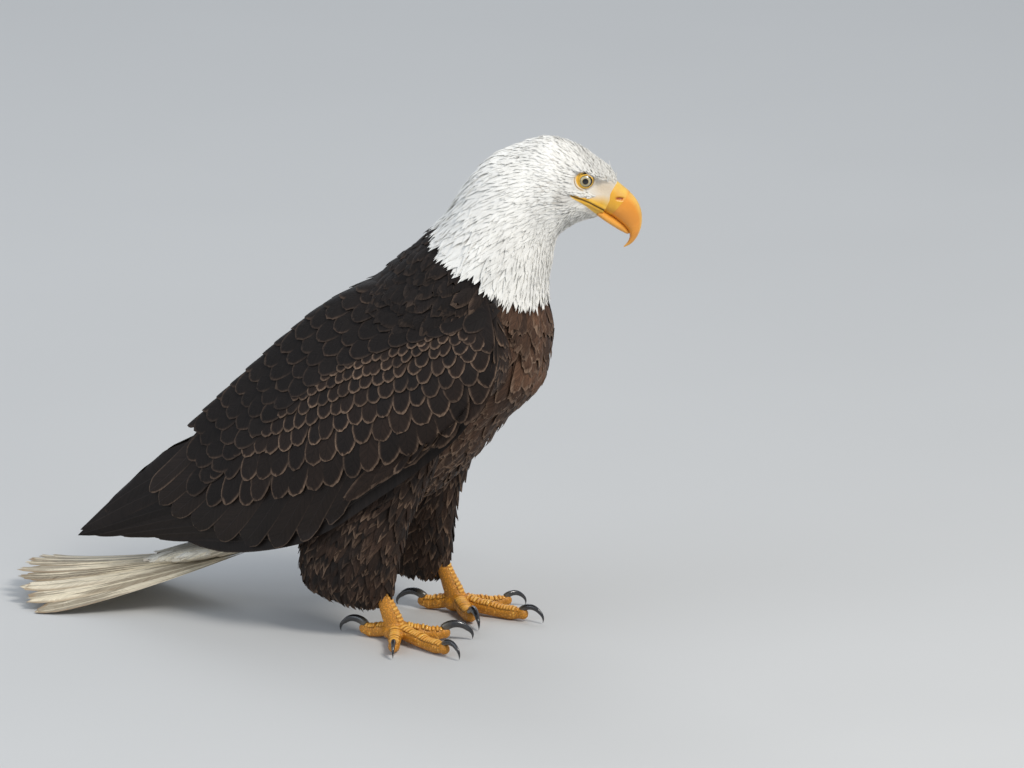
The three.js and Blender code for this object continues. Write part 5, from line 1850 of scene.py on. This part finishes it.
FLOOR_RADIUS, FLOOR_DROP = 14, 0.0004  # in metres
PICTURE_RIGHT, PICTURE_UP = 81, 242  # the picture's middle, in millimetres from the bird's origin


class EAGLE_OT_stage(Operator):
    """Adds the pale floor, the lights and the camera"""

    bl_idname = "eagle.stage"
    bl_label = "Stage"

    def execute(self, context):
        stage, scene = settings()[2], context.scene
        w = new_material("Floor", 0.8, Specular_IOR_Level=0.2)
        tone = w.ease(w.noise(w.place(), 1.2, 3.0), 0.3, 0.7)
        material = w.finish(w.mix(tone, stage.floor, shaded(stage.floor, 0.97)))
        angle = circle(128)
        rim = stacked(FLOOR_RADIUS * np.cos(angle), FLOOR_RADIUS * np.sin(angle), -FLOOR_DROP)
        new_object("floor", rim, [range(len(angle))], material)
        scene.world = bpy.data.worlds.new("Studio")
        scene.world.use_nodes = True
        sky = scene.world.node_tree.nodes["Background"].inputs
        sky["Color"].default_value, sky["Strength"].default_value = (0.8, 0.86, 0.95, 1), 0.55
        turn, tilt = stage.azimuth, stage.elevation
        ahead = np.array([math.sin(turn), -math.cos(turn), 0])
        right = np.array([math.cos(turn), math.sin(turn), 0])
        view, up = math.cos(tilt) * ahead + math.sin(tilt) * UP, math.cos(tilt) * UP - math.sin(tilt) * ahead
        middle = placed(PICTURE_RIGHT * right + PICTURE_UP * up)
        for name, power, size, colour, place in (
                ("key", stage.key, 1.1, (1.0, 0.96, 0.9), 1.7 * right + 2.0 * ahead + 2.9 * UP),
                ("fill", stage.fill, 2.4, (0.8, 0.89, 1.0), -2.6 * right + 1.6 * ahead + 1.8 * UP),
                ("back", 0.8 * stage.fill, 1.6, (0.9, 0.95, 1.0), -0.6 * right - 2.6 * ahead + 2.4 * UP)):
            light = bpy.data.lights.new(name, "AREA")
            light.energy, light.size, light.color = power, size, colour
            aimed(linked(name, light), middle + place, middle)
        camera = bpy.data.cameras.new("camera")
        camera.lens, camera.sensor_width, camera.clip_start, camera.clip_end = 703, 36, 1, 100
        scene.camera = linked("camera", camera)
        aimed(scene.camera, middle + view * stage.distance, middle)
        scene.view_settings.view_transform = "Standard"
        return {"FINISHED"}


OPERATORS = [EAGLE_OT_skin, EAGLE_OT_eyes, EAGLE_OT_bill, EAGLE_OT_claws, EAGLE_OT_scutes, EAGLE_OT_head,
             EAGLE_OT_neck, EAGLE_OT_trunk, EAGLE_OT_thighs, EAGLE_OT_coverts, EAGLE_OT_flight, EAGLE_OT_tail,
             EAGLE_OT_stage]


class EAGLE_PT_parts(Panel):
    """Lists the bird's pieces, in the order they are made"""

    bl_label = "Bald eagle"
    bl_idname = "EAGLE_PT_parts"
    bl_space_type = "VIEW_3D"
    bl_region_type = "UI"
    bl_category = "Eagle"

    def draw(self, context):
        for group in settings():
            box = self.layout.box()
            for name in group.__annotations__:
                box.prop(group, name)
        column = self.layout.column()
        for operator in OPERATORS:
            column.operator(operator.bl_idname)


CLASSES = [EaglePlumageSettings, EagleHornSettings, EagleStageSettings, *OPERATORS, EAGLE_PT_parts]


def register():
    for cls in CLASSES:
        bpy.utils.register_class(cls)
    bpy.types.Scene.eagle_plumage = PointerProperty(type=EaglePlumageSettings)
    bpy.types.Scene.eagle_horn = PointerProperty(type=EagleHornSettings)
    bpy.types.Scene.eagle_stage = PointerProperty(type=EagleStageSettings)


def unregister():
    del bpy.types.Scene.eagle_stage
    del bpy.types.Scene.eagle_horn
    del bpy.types.Scene.eagle_plumage
    for cls in reversed(CLASSES):
        bpy.utils.unregister_class(cls)


def main():
    register()
    for operator in OPERATORS:
        getattr(bpy.ops.eagle, operator.bl_idname.split(".")[1])()


if __name__ == "__main__":
    main()
